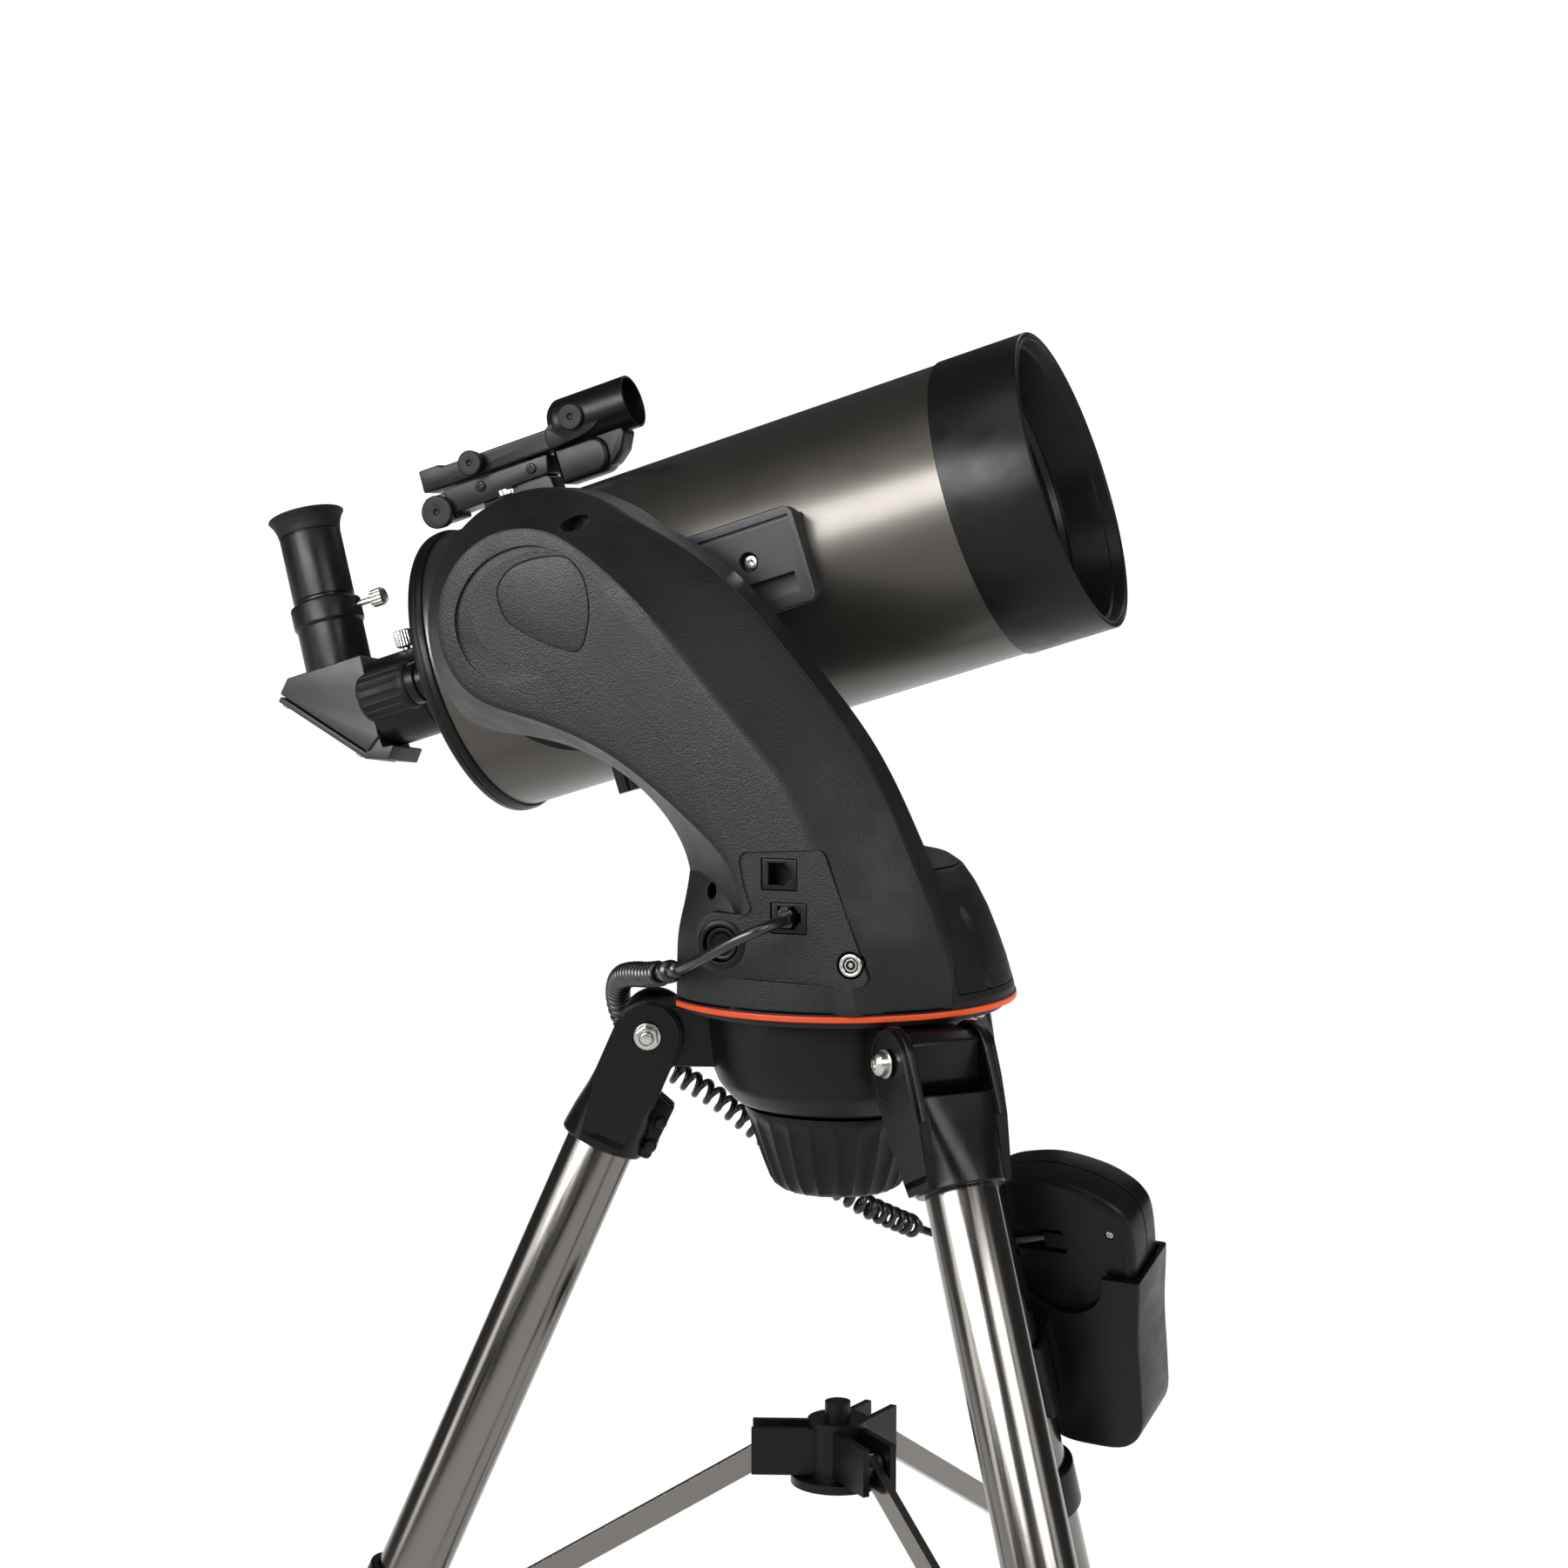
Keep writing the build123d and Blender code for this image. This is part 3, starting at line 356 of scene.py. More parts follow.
def prism(outline, low, high, axis="Y", edge=0.0, edges="both"):
    """Outline drawn out along an axis, its rims rounded by edge."""
    place = PLACE[axis]
    levels = [(low, 0.0)]
    if edge and edges != "high":
        levels = [(low + edge * (1 - sin(t)), edge * (1 - cos(t))) for t in (pi / 2, pi / 3, pi / 6, 0)]
    if edge and edges != "low":
        levels += [(high - edge * (1 - sin(t)), edge * (1 - cos(t))) for t in (0, pi / 6, pi / 3, pi / 2)]
    else:
        levels.append((high, 0.0))
    rings = []
    for level, shrink in levels:
        flat = inset(outline, shrink) if shrink else outline
        rings.append([place(level, *p) for p in flat])
    return skin(rings)


def block(x0, x1, y0, y1, z0, z1, edge=0.0, corner=0.0, axis="Y"):
    """Box with rounded rims, drawn out along an axis; corner rounds the other four edges."""
    spans = {"X": ((y0, y1), (z0, z1), (x0, x1)), "Y": ((x0, x1), (z0, z1), (y0, y1)),
             "Z": ((x0, x1), (y0, y1), (z0, z1))}[axis]
    (u0, u1), (v0, v1), (low, high) = spans
    outline = [(u0, v0), (u1, v0), (u1, v1), (u0, v1)]
    return prism(rounded(outline, corner or edge), low, high, axis, edge)


def rod(radius, low, high, axis="X", at=(0, 0), edge=0.3, sides=40):
    """Round bar along an axis, its rims rounded by edge."""
    edge = min(edge, radius / 2, (high - low) / 2.2)
    profile = rounded([(low, 0, 0), (low, radius), (high, radius), (high, 0, 0)], edge, 3)
    return lathe(profile, axis, sides, at)


def hexagon(across, low, high, at=(0, 0)):
    """Six-sided bar along Y."""
    r = across / 2 / cos(pi / 6)
    points = [(at[0] + r * cos(t), at[1] + r * sin(t)) for t in (k * pi / 3 for k in range(6))]
    return prism(rounded(points, 0.5, 2), low, high, "Y", 0.4)


def combine(kind, first, *others):
    """UNION, DIFFERENCE or INTERSECT of the first mesh with the others, one after another."""
    scene = bpy.context.scene
    base = bpy.data.objects.new("base", first)
    scene.collection.objects.link(base)
    tools = []
    for other in others:
        tool = bpy.data.objects.new("tool", other)
        scene.collection.objects.link(tool)
        step = base.modifiers.new("step", "BOOLEAN")
        step.operation, step.solver, step.object = kind, "EXACT", tool
        tools.append(tool)
    graph = bpy.context.evaluated_depsgraph_get()
    result = bpy.data.meshes.new_from_object(base.evaluated_get(graph), depsgraph=graph)
    for item in [base, *tools]:
        bpy.data.objects.remove(item)
    return result


def union(first, *others):
    return combine("UNION", first, *others)


def cut(first, *others):
    return combine("DIFFERENCE", first, *others)


def common(first, *others):
    return combine("INTERSECT", first, *others)


def moved(mesh, matrix):
    copy = mesh.copy()
    copy.transform(matrix)
    return copy


def together(*meshes):
    """One mesh of separate solids."""
    work = bmesh.new()
    for mesh in meshes:
        work.from_mesh(mesh)
    result = bpy.data.meshes.new("solids")
    work.to_mesh(result)
    work.free()
    return result


def curve_through(points, start, end, count):
    """Smooth curve through flat points that leaves and arrives in the given directions."""
    p = np.array(points, float)
    h = np.linalg.norm(np.diff(p, axis=0), axis=1)
    n = len(p)
    matrix, right = np.zeros((n, n)), np.zeros((n, 2))
    matrix[0, 0] = matrix[-1, -1] = 1
    right[0] = np.array(start) / np.linalg.norm(start)
    right[-1] = np.array(end) / np.linalg.norm(end)
    for i in range(1, n - 1):
        matrix[i, i - 1:i + 2] = 1 / h[i - 1], 2 / h[i - 1] + 2 / h[i], 1 / h[i]
        right[i] = 3 * (p[i] - p[i - 1]) / h[i - 1] ** 2 + 3 * (p[i + 1] - p[i]) / h[i] ** 2
    slope = np.linalg.solve(matrix, right)
    at = np.concatenate([[0], np.cumsum(h)])
    result = []
    for s in np.linspace(0, at[-1], count + 1):
        i = min(int(np.searchsorted(at, s, side="right")) - 1, n - 2)
        u = (s - at[i]) / h[i]
        q = ((2 * u**3 - 3 * u**2 + 1) * p[i] + (u**3 - 2 * u**2 + u) * h[i] * slope[i]
             + (3 * u**2 - 2 * u**3) * p[i + 1] + (u**3 - u**2) * h[i] * slope[i + 1])
        result.append((float(q[0]), float(q[1])))
    return result


def smooth_loop(points, per_span=6):
    """Closed smooth curve through points."""
    n, result = len(points), []
    p = [Vector(q) for q in points]
    for i in range(n):
        a, b, c, d = p[i - 1], p[i], p[(i + 1) % n], p[(i + 2) % n]
        for k in range(per_span):
            u = k / per_span
            q = ((-u + 2 * u**2 - u**3) * a + (2 - 5 * u**2 + 3 * u**3) * b
                 + (u + 4 * u**2 - 3 * u**3) * c + (u**3 - u**2) * d) / 2
            result.append(tuple(q))
    return result


def show(name, mesh, material):
    """Makes a piece from a mesh in metres."""
    mesh.name = name
    mesh.materials.append(material)
    piece = bpy.data.objects.new(name, mesh)
    bpy.context.scene.collection.objects.link(piece)
    return piece


def add(name, mesh, material, body, matrix, *nodes, slot=None, smooth=32):
    """Makes a piece from a mesh in millimetres, placed by the matrix, that rides the body.

    It stands for the CAD nodes named, which it hides; the slot argument is not used.
    """
    mesh = mesh.copy()
    mesh.transform(Matrix.Scale(MM, 4))
    mesh.materials.clear()
    mesh.shade_smooth()
    mesh.set_sharp_from_angle(angle=radians(smooth))
    piece = show(name, mesh, material)
    piece.matrix_world = matrix
    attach(piece, body)
    if nodes:
        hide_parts(*nodes)

# ---------------------------------------------------------------- cord

# Wire diameters, the coil's own diameter and its pitches, and the steps in which the lines are drawn.
LEAD_WIRE, COIL_WIRE, TAIL_WIRE = 5.0, 3.3, 4.1
COIL_OUTER = 12.0
ARCH_PITCH, HANGING_PITCH = 4.3, 7.0
COIL_STEP, WIRE_STEP = 0.2, 0.9
LEAD_ROUTE = [(2, -82, 43.5), (1.5, -90, 43.2), (-2.5, -97, 41.5), (-10.5, -100.5, 38),
              (-24.5, -98.5, 30.5), (-37, -92, 24), (-47.5, -82, 19), (-58.75, -70, 15.5)]
COIL_ROUTE = [(-58.75, -70, 15.5), (-70, -58, 12), (-85, -41, 9.5), (-99.5, -22, 4.5), (-109.5, -2, -8),
              (-110, 10, -24), (-102, 18, -38), (-88, 26, -50), (-72, 36, -62), (-56, 47, -79),
              (-36.5, 61, -97.5)]
SAG_ROUTE = [(-36.5, 61, -97.5), (-17, 75, -116), (-2, 99, -130.5), (4.5, 121, -139.75)]
TAIL_ROUTE = [(4.5, 121, -139.75), (11, 143, -149), (20, 160, -153), (40, 164.5, -154.5),
              (59.07, 168.96, -150.18)]


def sampled(route):
    """Points along the smooth line whose control points are the route's."""
    curve = bpy.data.curves.new("route", "CURVE")
    curve.dimensions = "3D"
    curve.resolution_u = 24
    spline = curve.splines.new("NURBS")
    spline.points.add(len(route) - 1)
    for point, (x, y, z) in zip(spline.points, route):
        point.co = (x * MM, y * MM, z * MM + RING_Z, 1)
    spline.order_u = 3
    spline.use_endpoint_u = True
    line = bpy.data.objects.new("route", curve)
    bpy.context.scene.collection.objects.link(line)
    mesh = bpy.data.meshes.new_from_object(line)
    points = [v.co.copy() for v in mesh.vertices]
    bpy.data.objects.remove(line)
    bpy.data.meshes.remove(mesh)
    return points


def path_length(points):
    return sum((b - a).length for a, b in zip(points, points[1:]))


def even(points, step_mm):
    """The same line in equal steps of about the given length."""
    total = path_length(points)
    count = max(2, round(total / (step_mm * MM)))
    wanted = [total * i / count for i in range(count + 1)]
    result, done, k = [], 0.0, 0
    for i in range(len(points) - 1):
        run = points[i + 1] - points[i]
        while k < len(wanted) and wanted[k] <= done + run.length + 1e-12:
            result.append(points[i] + run * ((wanted[k] - done) / max(run.length, 1e-12)))
            k += 1
        done += run.length
    while len(result) < count + 1:
        result.append(points[-1].copy())
    return result


def carried_frames(points):
    """Tangent, normal and side at each point, turned as little as possible from one to the next."""
    tangents = []
    for i in range(len(points)):
        a, b = points[max(i - 1, 0)], points[min(i + 1, len(points) - 1)]
        tangents.append((b - a).normalized())
    normal = tangents[0].orthogonal().normalized()
    result = []
    for t in tangents:
        normal = (normal - t * normal.dot(t)).normalized()
        result.append((t, normal, t.cross(normal)))
    return result


def tube_mesh(points, radius, sides=14):
    """Round tube along a line, in metres, closed at both ends."""
    mesh = bmesh.new()
    rings = []
    for p, (_, n, s) in zip(points, carried_frames(points)):
        ring = [mesh.verts.new(p + (n * cos(a) + s * sin(a)) * radius)
                for a in (2 * pi * k / sides for k in range(sides))]
        rings.append(ring)
    for a, b in zip(rings, rings[1:]):
        for k in range(sides):
            mesh.faces.new((a[k], a[(k + 1) % sides], b[(k + 1) % sides], b[k]))
    mesh.faces.new(list(reversed(rings[0])))
    mesh.faces.new(rings[-1])
    data = bpy.data.meshes.new("tube")
    bmesh.ops.recalc_face_normals(mesh, faces=mesh.faces)
    mesh.to_mesh(data)
    mesh.free()
    data.shade_smooth()
    return data


def coil_pitch(t):
    """Turns close together over the arch, and drawn apart where the cord hangs."""
    return (ARCH_PITCH + (HANGING_PITCH - ARCH_PITCH) * max(0.0, min(1.0, (t - 0.37) / 0.15))) * MM


def helix(line, fade=0.006):
    """Helix round a line; its radius grows from nothing at the start and fades again at the end."""
    fine = even(line, COIL_STEP)
    total = path_length(fine)
    radius = (COIL_OUTER - COIL_WIRE) / 2 * MM
    step = total / (len(fine) - 1)
    points, angle = [], 0.0
    for i, (p, (_, n, s)) in enumerate(zip(fine, carried_frames(fine))):
        along = i * step
        swell = min(1.0, along / fade, max(0.0, total - along) / fade)
        r = radius * swell * swell * (3 - 2 * swell)
        points.append(p + (n * cos(angle) + s * sin(angle)) * r)
        angle += 2 * pi * step / coil_pitch(along / total)
    return points


def cord_piece(name, node, points, wire, *bodies, start=None, end=None):
    """One length of the cord; it rides its body, or stays where it is drawn when a start is given; end is not
    used.
    """
    points = even(points, WIRE_STEP)
    piece = show(name, tube_mesh(points, wire * MM / 2), VINYL)
    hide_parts(node)
    if start:
        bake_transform(piece)
    else:
        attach(piece, *bodies)


def sleeve(name, points, radius):
    """Ring of plastic round the lead."""
    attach(show(name, tube_mesh(points, radius, 24), VINYL), "azimuth")


lead, arch, hanging = sampled(LEAD_ROUTE), sampled(COIL_ROUTE), sampled(SAG_ROUTE)
coiled = arch + hanging[1:]
turns = helix(coiled)
parting = round(path_length(arch) / path_length(coiled) * (len(turns) - 1))
cord_piece("cord_lead_wire", "cord_lead", lead, LEAD_WIRE, "azimuth")
cord_piece("cord_coil_wire", "cord_coil", turns[:parting + 1], COIL_WIRE, "root", "azimuth",
           start=(-0.1, 0.010, RING_Z), end=(-0.1, -0.068, RING_Z))
cord_piece("cord_sag_wire", "cord_sag", turns[parting:], COIL_WIRE, "root", "leg_c",
           start=(0, 0.066, RING_Z - 0.1), end=(0, 0.118, RING_Z - 0.14))
cord_piece("cord_tail_wire", "cord_tail", sampled(TAIL_ROUTE), TAIL_WIRE, "leg_c", "hand_control",
           start=(0.0045, 0.121, RING_Z - 0.14), end=(0.05, 0.167, RING_Z - 0.152))
lead_end = even(lead, 1)[-17:-1]
sleeve("cord_sleeve", lead_end, 0.0036)
sleeve("cord_clip", lead_end[8:13], 0.0052)

# ---------------------------------------------------------------- arm

FLAT_X = -58.0
FACE_Y, SPLIT_Y, INNER_Y = -78.0, -46.0, -17.0
HEAD_AT = (-122.8, 169.0)
HEAD_R, FACE_R = 62.0, 41.0
PANEL_Y = -76.95
PANEL = [(-21.5, 71.5, 4), (17.5, 73.8, 4), (38.3, 18, 3), (35.5, 14.6, 3), (-34, 16.5, 6), (-41, 23, 6),
         (-41, 38, 6), (-35.5, 44.6, 5), (-17.6, 43.8, 2), (-15.3, 47, 2), (-19, 57.5, 8)]
TEARDROP = [(-102.9, 200.2), (-114.4, 199.6), (-124.8, 196.7), (-131.7, 191.6), (-135.2, 183.6),
            (-131.4, 172.6), (-125.1, 167.4), (-116.7, 163.2), (-107.4, 159.9), (-98.6, 157.7),
            (-94.6, 159.4), (-92.2, 165), (-90.6, 176), (-92.4, 188.6), (-97, 196.2)]
CRESCENT_OUTER = [(-106.5, 202.2), (-117.4, 204.8), (-131.1, 202.5), (-141.7, 197.1), (-150.3, 187.9),
                  (-155.2, 177), (-155.6, 167.5), (-152.7, 157.9), (-147.2, 150.2), (-140.1, 145.4),
                  (-131, 142.2)]
CRESCENT_INNER = [(-106.5, 201.6), (-118.5, 201.6), (-129, 198.6), (-139.2, 192.4), (-145.6, 185),
                  (-148.1, 176.3), (-146.6, 167.6), (-141.7, 159.9), (-134.4, 154.2), (-125, 150),
                  (-112.7, 146.5)]
AUX_SOCKET, HAND_SOCKET = (-10.9, 5.9, 55.2, 69.5), (-6.6, 10.2, 36.3, 50.2)
JACK_AT, BUTTON_AT = (30, 24), (-29.4, 30.7)
DOOR_HALF, DOOR_GAP = 30, 0.4
FOOT_Z = 2.6
CREST, NAPE = 58, 222


def arm_loop(face):
    """The arm's side view as a closed loop: head, left edge, foot and right edge."""
    r, low = (FACE_R, 1.5) if face else (HEAD_R, 0.0)
    centre = (HEAD_AT[0], HEAD_AT[1] + low)
    sweep = [radians(CREST + (NAPE - CREST) * k / 48) for k in range(49)]
    head = [(centre[0] + r * cos(t), centre[1] + r * sin(t)) for t in sweep]
    if face:
        right = [(-64.4, 174.9), (-24, 128.5), (0, 99.5), (13, 74), (30, 30), (33, FOOT_Z)]
        left = [(-24, FOOT_Z), (-20, 30), (-22, 59.5), (-44.3, 85.5), (-81.2, 113.3), (-123, 129.5)]
    else:
        right = [(-51, 199.4), (-8.1, 156.6), (24.3, 115.7), (50.4, 64), (64, 30), (68, FOOT_Z)]
        left = [(FLAT_X, FOOT_Z), (-57, 30), (-55.7, 58.6), (-68.2, 83.8), (-93.5, 104.8), (-136.4, 117.6)]
    along = (sin(radians(CREST)), -cos(radians(CREST)))
    arrive = (sin(radians(NAPE)), -cos(radians(NAPE)))
    down = curve_through([head[0], *right], along, (0.05, -1), 60)
    up = curve_through([*left, head[-1]], (0.05, 1), arrive, 60)
    foot = [(up[0][0] + (down[-1][0] - up[0][0]) * k / 16, FOOT_Z) for k in range(1, 16)]
    return head + up[-2::-1] + foot + down[:0:-1]


def blended_loop(share):
    """Loop between the split line's, at 0, and the face's, at 1."""
    pairs = zip(arm_loop(False), arm_loop(True))
    return [(a[0] + (b[0] - a[0]) * share, a[1] + (b[1] - a[1]) * share) for a, b in pairs]


def at_depth(loop, y):
    return [(x, y, z) for x, z in loop]


def ribbon_cutter(outer, inner, depths):
    """Cutter with a slanting floor between two lines; depths gives the floor's depth along each."""
    rings = []
    for (a, b), (deep, shallow) in zip(zip(outer, inner), depths):
        rings.append([(a[0], FACE_Y - 3, a[1]), (a[0], FACE_Y + deep, a[1]),
                      (b[0], FACE_Y + shallow, b[1]), (b[0], FACE_Y - 3, b[1])])
    return skin(rings)


def oval(centre, long, short, turn, low, high):
    """Elliptical bar along Y, its long axis turned from X."""
    c, s = cos(radians(turn)), sin(radians(turn))
    points = [(centre[0] + long * cos(t) * c - short * sin(t) * s, centre[1] + long * cos(t) * s
               + short * sin(t) * c) for t in (2 * pi * k / 40 for k in range(40))]
    return prism(points, low, high)


def rectangle(bounds, low, high, corner=0.8, edge=0.0, edges="both"):
    """Rectangular bar along Y with rounded corners."""
    x0, x1, z0, z1 = bounds
    return prism(rounded([(x0, z0), (x1, z0), (x1, z1), (x0, z1)], corner), low, high, "Y", edge, edges)


def outer_shell():
    """Outer half of the arm: bevelled, with the drum at its foot and the sunk and raised details."""
    split = blended_loop(0)
    rings = [at_depth(inset(split, 1.1), SPLIT_Y), at_depth(inset(split, 0.3), SPLIT_Y - 0.2),
             at_depth(blended_loop(0.03), SPLIT_Y - 1.0)]
    rings += [at_depth(blended_loop(s), SPLIT_Y + (FACE_Y - SPLIT_Y) * s) for s in (0.3, 0.6, 0.93)]
    top = blended_loop(1.0)
    for s, y in ((0.1, 0.8), (0.45, 0.28), (1.0, 0.0)):
        rings.append(at_depth(inset(top, 2.2 * s - 1.2 * (1 - s)), FACE_Y + y))
    drum = rounded([(FOOT_Z, 0, 0), (FOOT_Z, 81.4, 1.2), (34, 81.2, 40), (92, 60, 20), (116, 36, 0),
                    (116, 0, 0)], 1, 12)
    foot = common(lathe(drum, "Z", 160), prism(arm_loop(False), SPLIT_Y - 40, SPLIT_Y))
    boss = prism(rounded(PANEL, 4), PANEL_Y - 0.02, -58)
    shell = union(skin(rings), foot, boss)

    count = 60
    outer = curve_through(CRESCENT_OUTER, (-0.95, 0.3), (0.95, -0.3), count)
    inner = curve_through(CRESCENT_INNER, (-1, -0.05), (0.98, -0.2), count)
    fade = [min(1.0, k / 8 + 0.25, (count - k) / 18 + 0.04) for k in range(count + 1)]
    crescent = ribbon_cutter(outer, inner, [(1.5 * f, 0.35 * f) for f in fade])
    teardrop = smooth_loop(TEARDROP, 5)
    port = prism(rounded(PANEL, 4), PANEL_Y, -95)
    shell = cut(shell, crescent, prism(teardrop, FACE_Y + 0.7, FACE_Y - 3), port)
    lid = prism(inset(teardrop, 0.42), FACE_Y - 0.12, FACE_Y + 2, "Y", 0.25, "low")
    shell = union(shell, lid)
    holes = [oval((-102.6, 214.6), 5.3, 3.5, 24, -90, -54), oval((-38.6, 52.2), 3.7, 2.7, 100, -90, -50),
             rectangle(AUX_SOCKET, -90, -62), rectangle(HAND_SOCKET, -90, -62),
             rod(6.2, -90, -62, "Y", JACK_AT), rod(9.2, -90, -70, "Y", BUTTON_AT)]
    return cut(shell, *holes)


def inner_shell():
    """Inner half of the arm, its back edge rounded, standing over the dome."""
    loop = arm_loop(False)
    levels = [(SPLIT_Y, 1.3), (SPLIT_Y + 0.9, 1.1), (SPLIT_Y + 1.3, 0.1), (INNER_Y - 6, 0.0)]
    levels += [(INNER_Y - 6 + 6 * sin(t), 6 * (1 - cos(t))) for t in (pi / 8, pi / 4, 3 * pi / 8, pi / 2)]
    shell = skin([at_depth(inset(loop, shrink) if shrink else loop, y) for y, shrink in levels])
    return cut(shell, lathe(DOME_CUTTER, "Z", 128), rod(8.2, -30, -10, "Y", HEAD_AT))


DOME = rounded([(1.6, 0, 0), (1.6, 81.4, 0.8), (5, 80.8, 1), (17, 77.3, 30), (29, 73.2, 60), (39, 69.1, 40),
                (51, 63, 30), (59.5, 57, 8), (63.6, 51, 6), (65.6, 42, 10), (66.5, 0, 0)], 1, 6)
DOME_CUTTER = [(-10, 0), (-10, 90), (1.5, 90), *DOME[1:]]


def dome_shell():
    """Base: the dome behind the arm, its flat side, the plinth's lip and the groove above it."""
    dome = common(lathe(DOME, "Z", 160), block(FLAT_X, 90, SPLIT_Y + 0.2, 90, -20, 90, axis="Z"))
    plinth = rounded([(-4.6, 0, 0), (-4.6, 76.8, 0.8), (1.45, 76.8, 0.1), (1.45, 81.7), (2.15, 81.7),
                      (2.15, 79.4), (3.2, 79.4), (3.2, 0, 0)], 0.3, 3)
    plinth = common(lathe(plinth, "Z", 160), block(FLAT_X, 90, -90, 90, -20, 90, axis="Z"))
    bay = common(block(30, 100, -100, 100, 7.4, 60.6, axis="Z"), door_wedge(DOOR_HALF + DOOR_GAP))
    bay = cut(bay, lathe([(0, 0), (0, 76), (30, 68), (50, 57), (62, 44), (62, 0)], "Z", 96))
    return cut(union(dome, plinth), bay, rod(14.2, -7, 4, "Z"))


def door_wedge(half):
    """Wedge from the azimuth axis outward, half degrees to each side of X."""
    t = tan(radians(half))
    return prism([(0, 0), (140, -140 * t), (140, 140 * t)], -5, 80, "Z")


def battery_door():
    """Battery door: the dome's own curve, with two leaf-shaped finger hollows."""
    span = common(block(30, 100, -100, 100, 8, 60, axis="Z"), door_wedge(DOOR_HALF))
    cover = common(lathe(DOME, "Z", 160), span)
    hollow = [(0, 0), (0, 77.6), (17, 74), (29, 70), (39, 65), (51, 58), (60, 50), (64, 40), (64, 0)]
    cover = cut(cover, lathe(hollow, "Z", 96))
    rows = []
    for k in range(13):
        u = k / 12
        z, angle = 44 - 37 * u, 17 - 2.5 * u
        half = 7.5 * sin(pi * min(1, 0.08 + u * 0.86)) ** 1.1
        r = 66.2 + 13.3 * min(1, (44 - z) / 30) + 1.0
        row = []
        for side, sink in ((-1, 0.4), (0, 2.4), (1, 0.4), (0, -9)):
            a = radians(angle + side * half * 0.8)
            row.append(((r - sink) * cos(a), (r - sink) * sin(a), z))
        rows.append(row)
    leaf = skin(rows)
    mirrored = moved(leaf, Matrix.Diagonal((1, -1, 1, 1)))
    mirrored.flip_normals()
    return cut(cover, leaf, mirrored)


# The outer arm wears the lighter, painted-light tone of the housing plastic. The inner half, dome and door wear
# the darker, painted-shade tone.
add("arm_outer", outer_shell(), LIT_HOUSING, "azimuth", MOUNT, "arm_outer_shell", smooth=28)
add("arm_inner", inner_shell(), SHADED_HOUSING_FINE, "azimuth", MOUNT, "arm_inner_shell", smooth=28)
add("base_dome", dome_shell(), SHADED_HOUSING_FINE, "azimuth", MOUNT, "base_housing", smooth=28)
add("battery_cover", battery_door(), SHADED_HOUSING_FINE, "battery_door", MOUNT, "battery_door", smooth=28)
ring = lathe(rounded([(-1.35, 77), (1.35, 77), (1.35, 82), (-1.35, 82)], 0.55, 3), "Z", 192)
ring = common(ring, block(FLAT_X, 90, -90, 90, -20, 90, axis="Z"))
add("ring_trim", ring, ORANGE, "azimuth", MOUNT, "accent_ring")


def socket(bounds):
    """Modular socket: its face, framed by a gap, and a stepped opening."""
    x0, x1, z0, z1 = bounds
    face = rectangle((x0 + 0.35, x1 - 0.35, z0 + 0.35, z1 - 0.35), -76.5, -63, 0.6, 0.3, "low")
    mx, mz = (x0 + x1) / 2 - 0.6, (z0 + z1) / 2 + 0.2
    steps = [(-4.6, -5), (3.4, -5), (3.4, -3.4), (4.6, -3.4), (4.6, -2), (6, -2), (6, 2.4), (4.6, 2.4),
             (4.6, 3.8), (3.4, 3.8), (3.4, 5), (-4.6, 5)]
    return cut(face, prism([(mx + u, mz + v) for u, v in steps], -80, -66))


add("aux_socket", socket(AUX_SOCKET), BLACK, "azimuth", MOUNT, "port_sockets")
add("hand_socket", socket(HAND_SOCKET), BLACK, "azimuth", MOUNT)
plug = union(rectangle((-2.4, 4.2, 39.4, 47.4), -79.5, -67, 1.2, 0.5, "low"),
             rectangle((-0.9, 2.7, 46.8, 48.6), -80.2, -70, 0.4), rod(2.6, -83.5, -78, "Y", (2, 43.5)))
add("lead_plug", plug, VINYL, "azimuth", MOUNT, slot="black_plastic")
jack_ring = rounded([(-77.2, 3.4), (-77.2, 5.2), (-64, 5.2), (-64, 3.4)], 0.8)
add("power_jack_ring", lathe(jack_ring, "Y", 64, JACK_AT), PLATED, "azimuth", MOUNT)
jack = [(-76, 3.3), (-70, 3.3), (-70, 6), (-66, 6), (-66, 0), (-76, 0)]
add("power_jack_body", lathe(jack, "Y", 48, JACK_AT), BLACK, "azimuth", MOUNT)
contact = lathe([(-76.3, 2.2), (-76.3, 2.8), (-71, 2.8), (-71, 2.2)], "Y", 40, JACK_AT)
add("power_jack_pin", together(rod(1.0, -76.6, -70, "Y", JACK_AT), contact), PLATED, "azimuth", MOUNT)
cap = rounded([(-76.4, 5.6, 0.3), (-76.8, 7.2, 0.6), (-64, 7.2, 0.2), (-64, 0, 0), (-73.6, 0, 0),
               (-74.2, 4, 3)], 0.4)
add("button_cap", lathe(cap, "Y", 64, BUTTON_AT), BLACK, "power_button", MOUNT, "power_button")
bezel = rounded([(-78.2, 8.1), (-78.2, 9.4), (-77.4, 11), (-76.6, 11), (-76.6, 8.9), (-71, 8.9),
                 (-71, 8.1)], 0.35, 3)
add("button_bezel", lathe(bezel, "Y", 64, BUTTON_AT), BLACK, "azimuth", MOUNT)

# ---------------------------------------------------------------- tripod head and legs

EAR_HALF = 17.2
LEG_AZIMUTHS = (196.5, 316.5, 76.5)


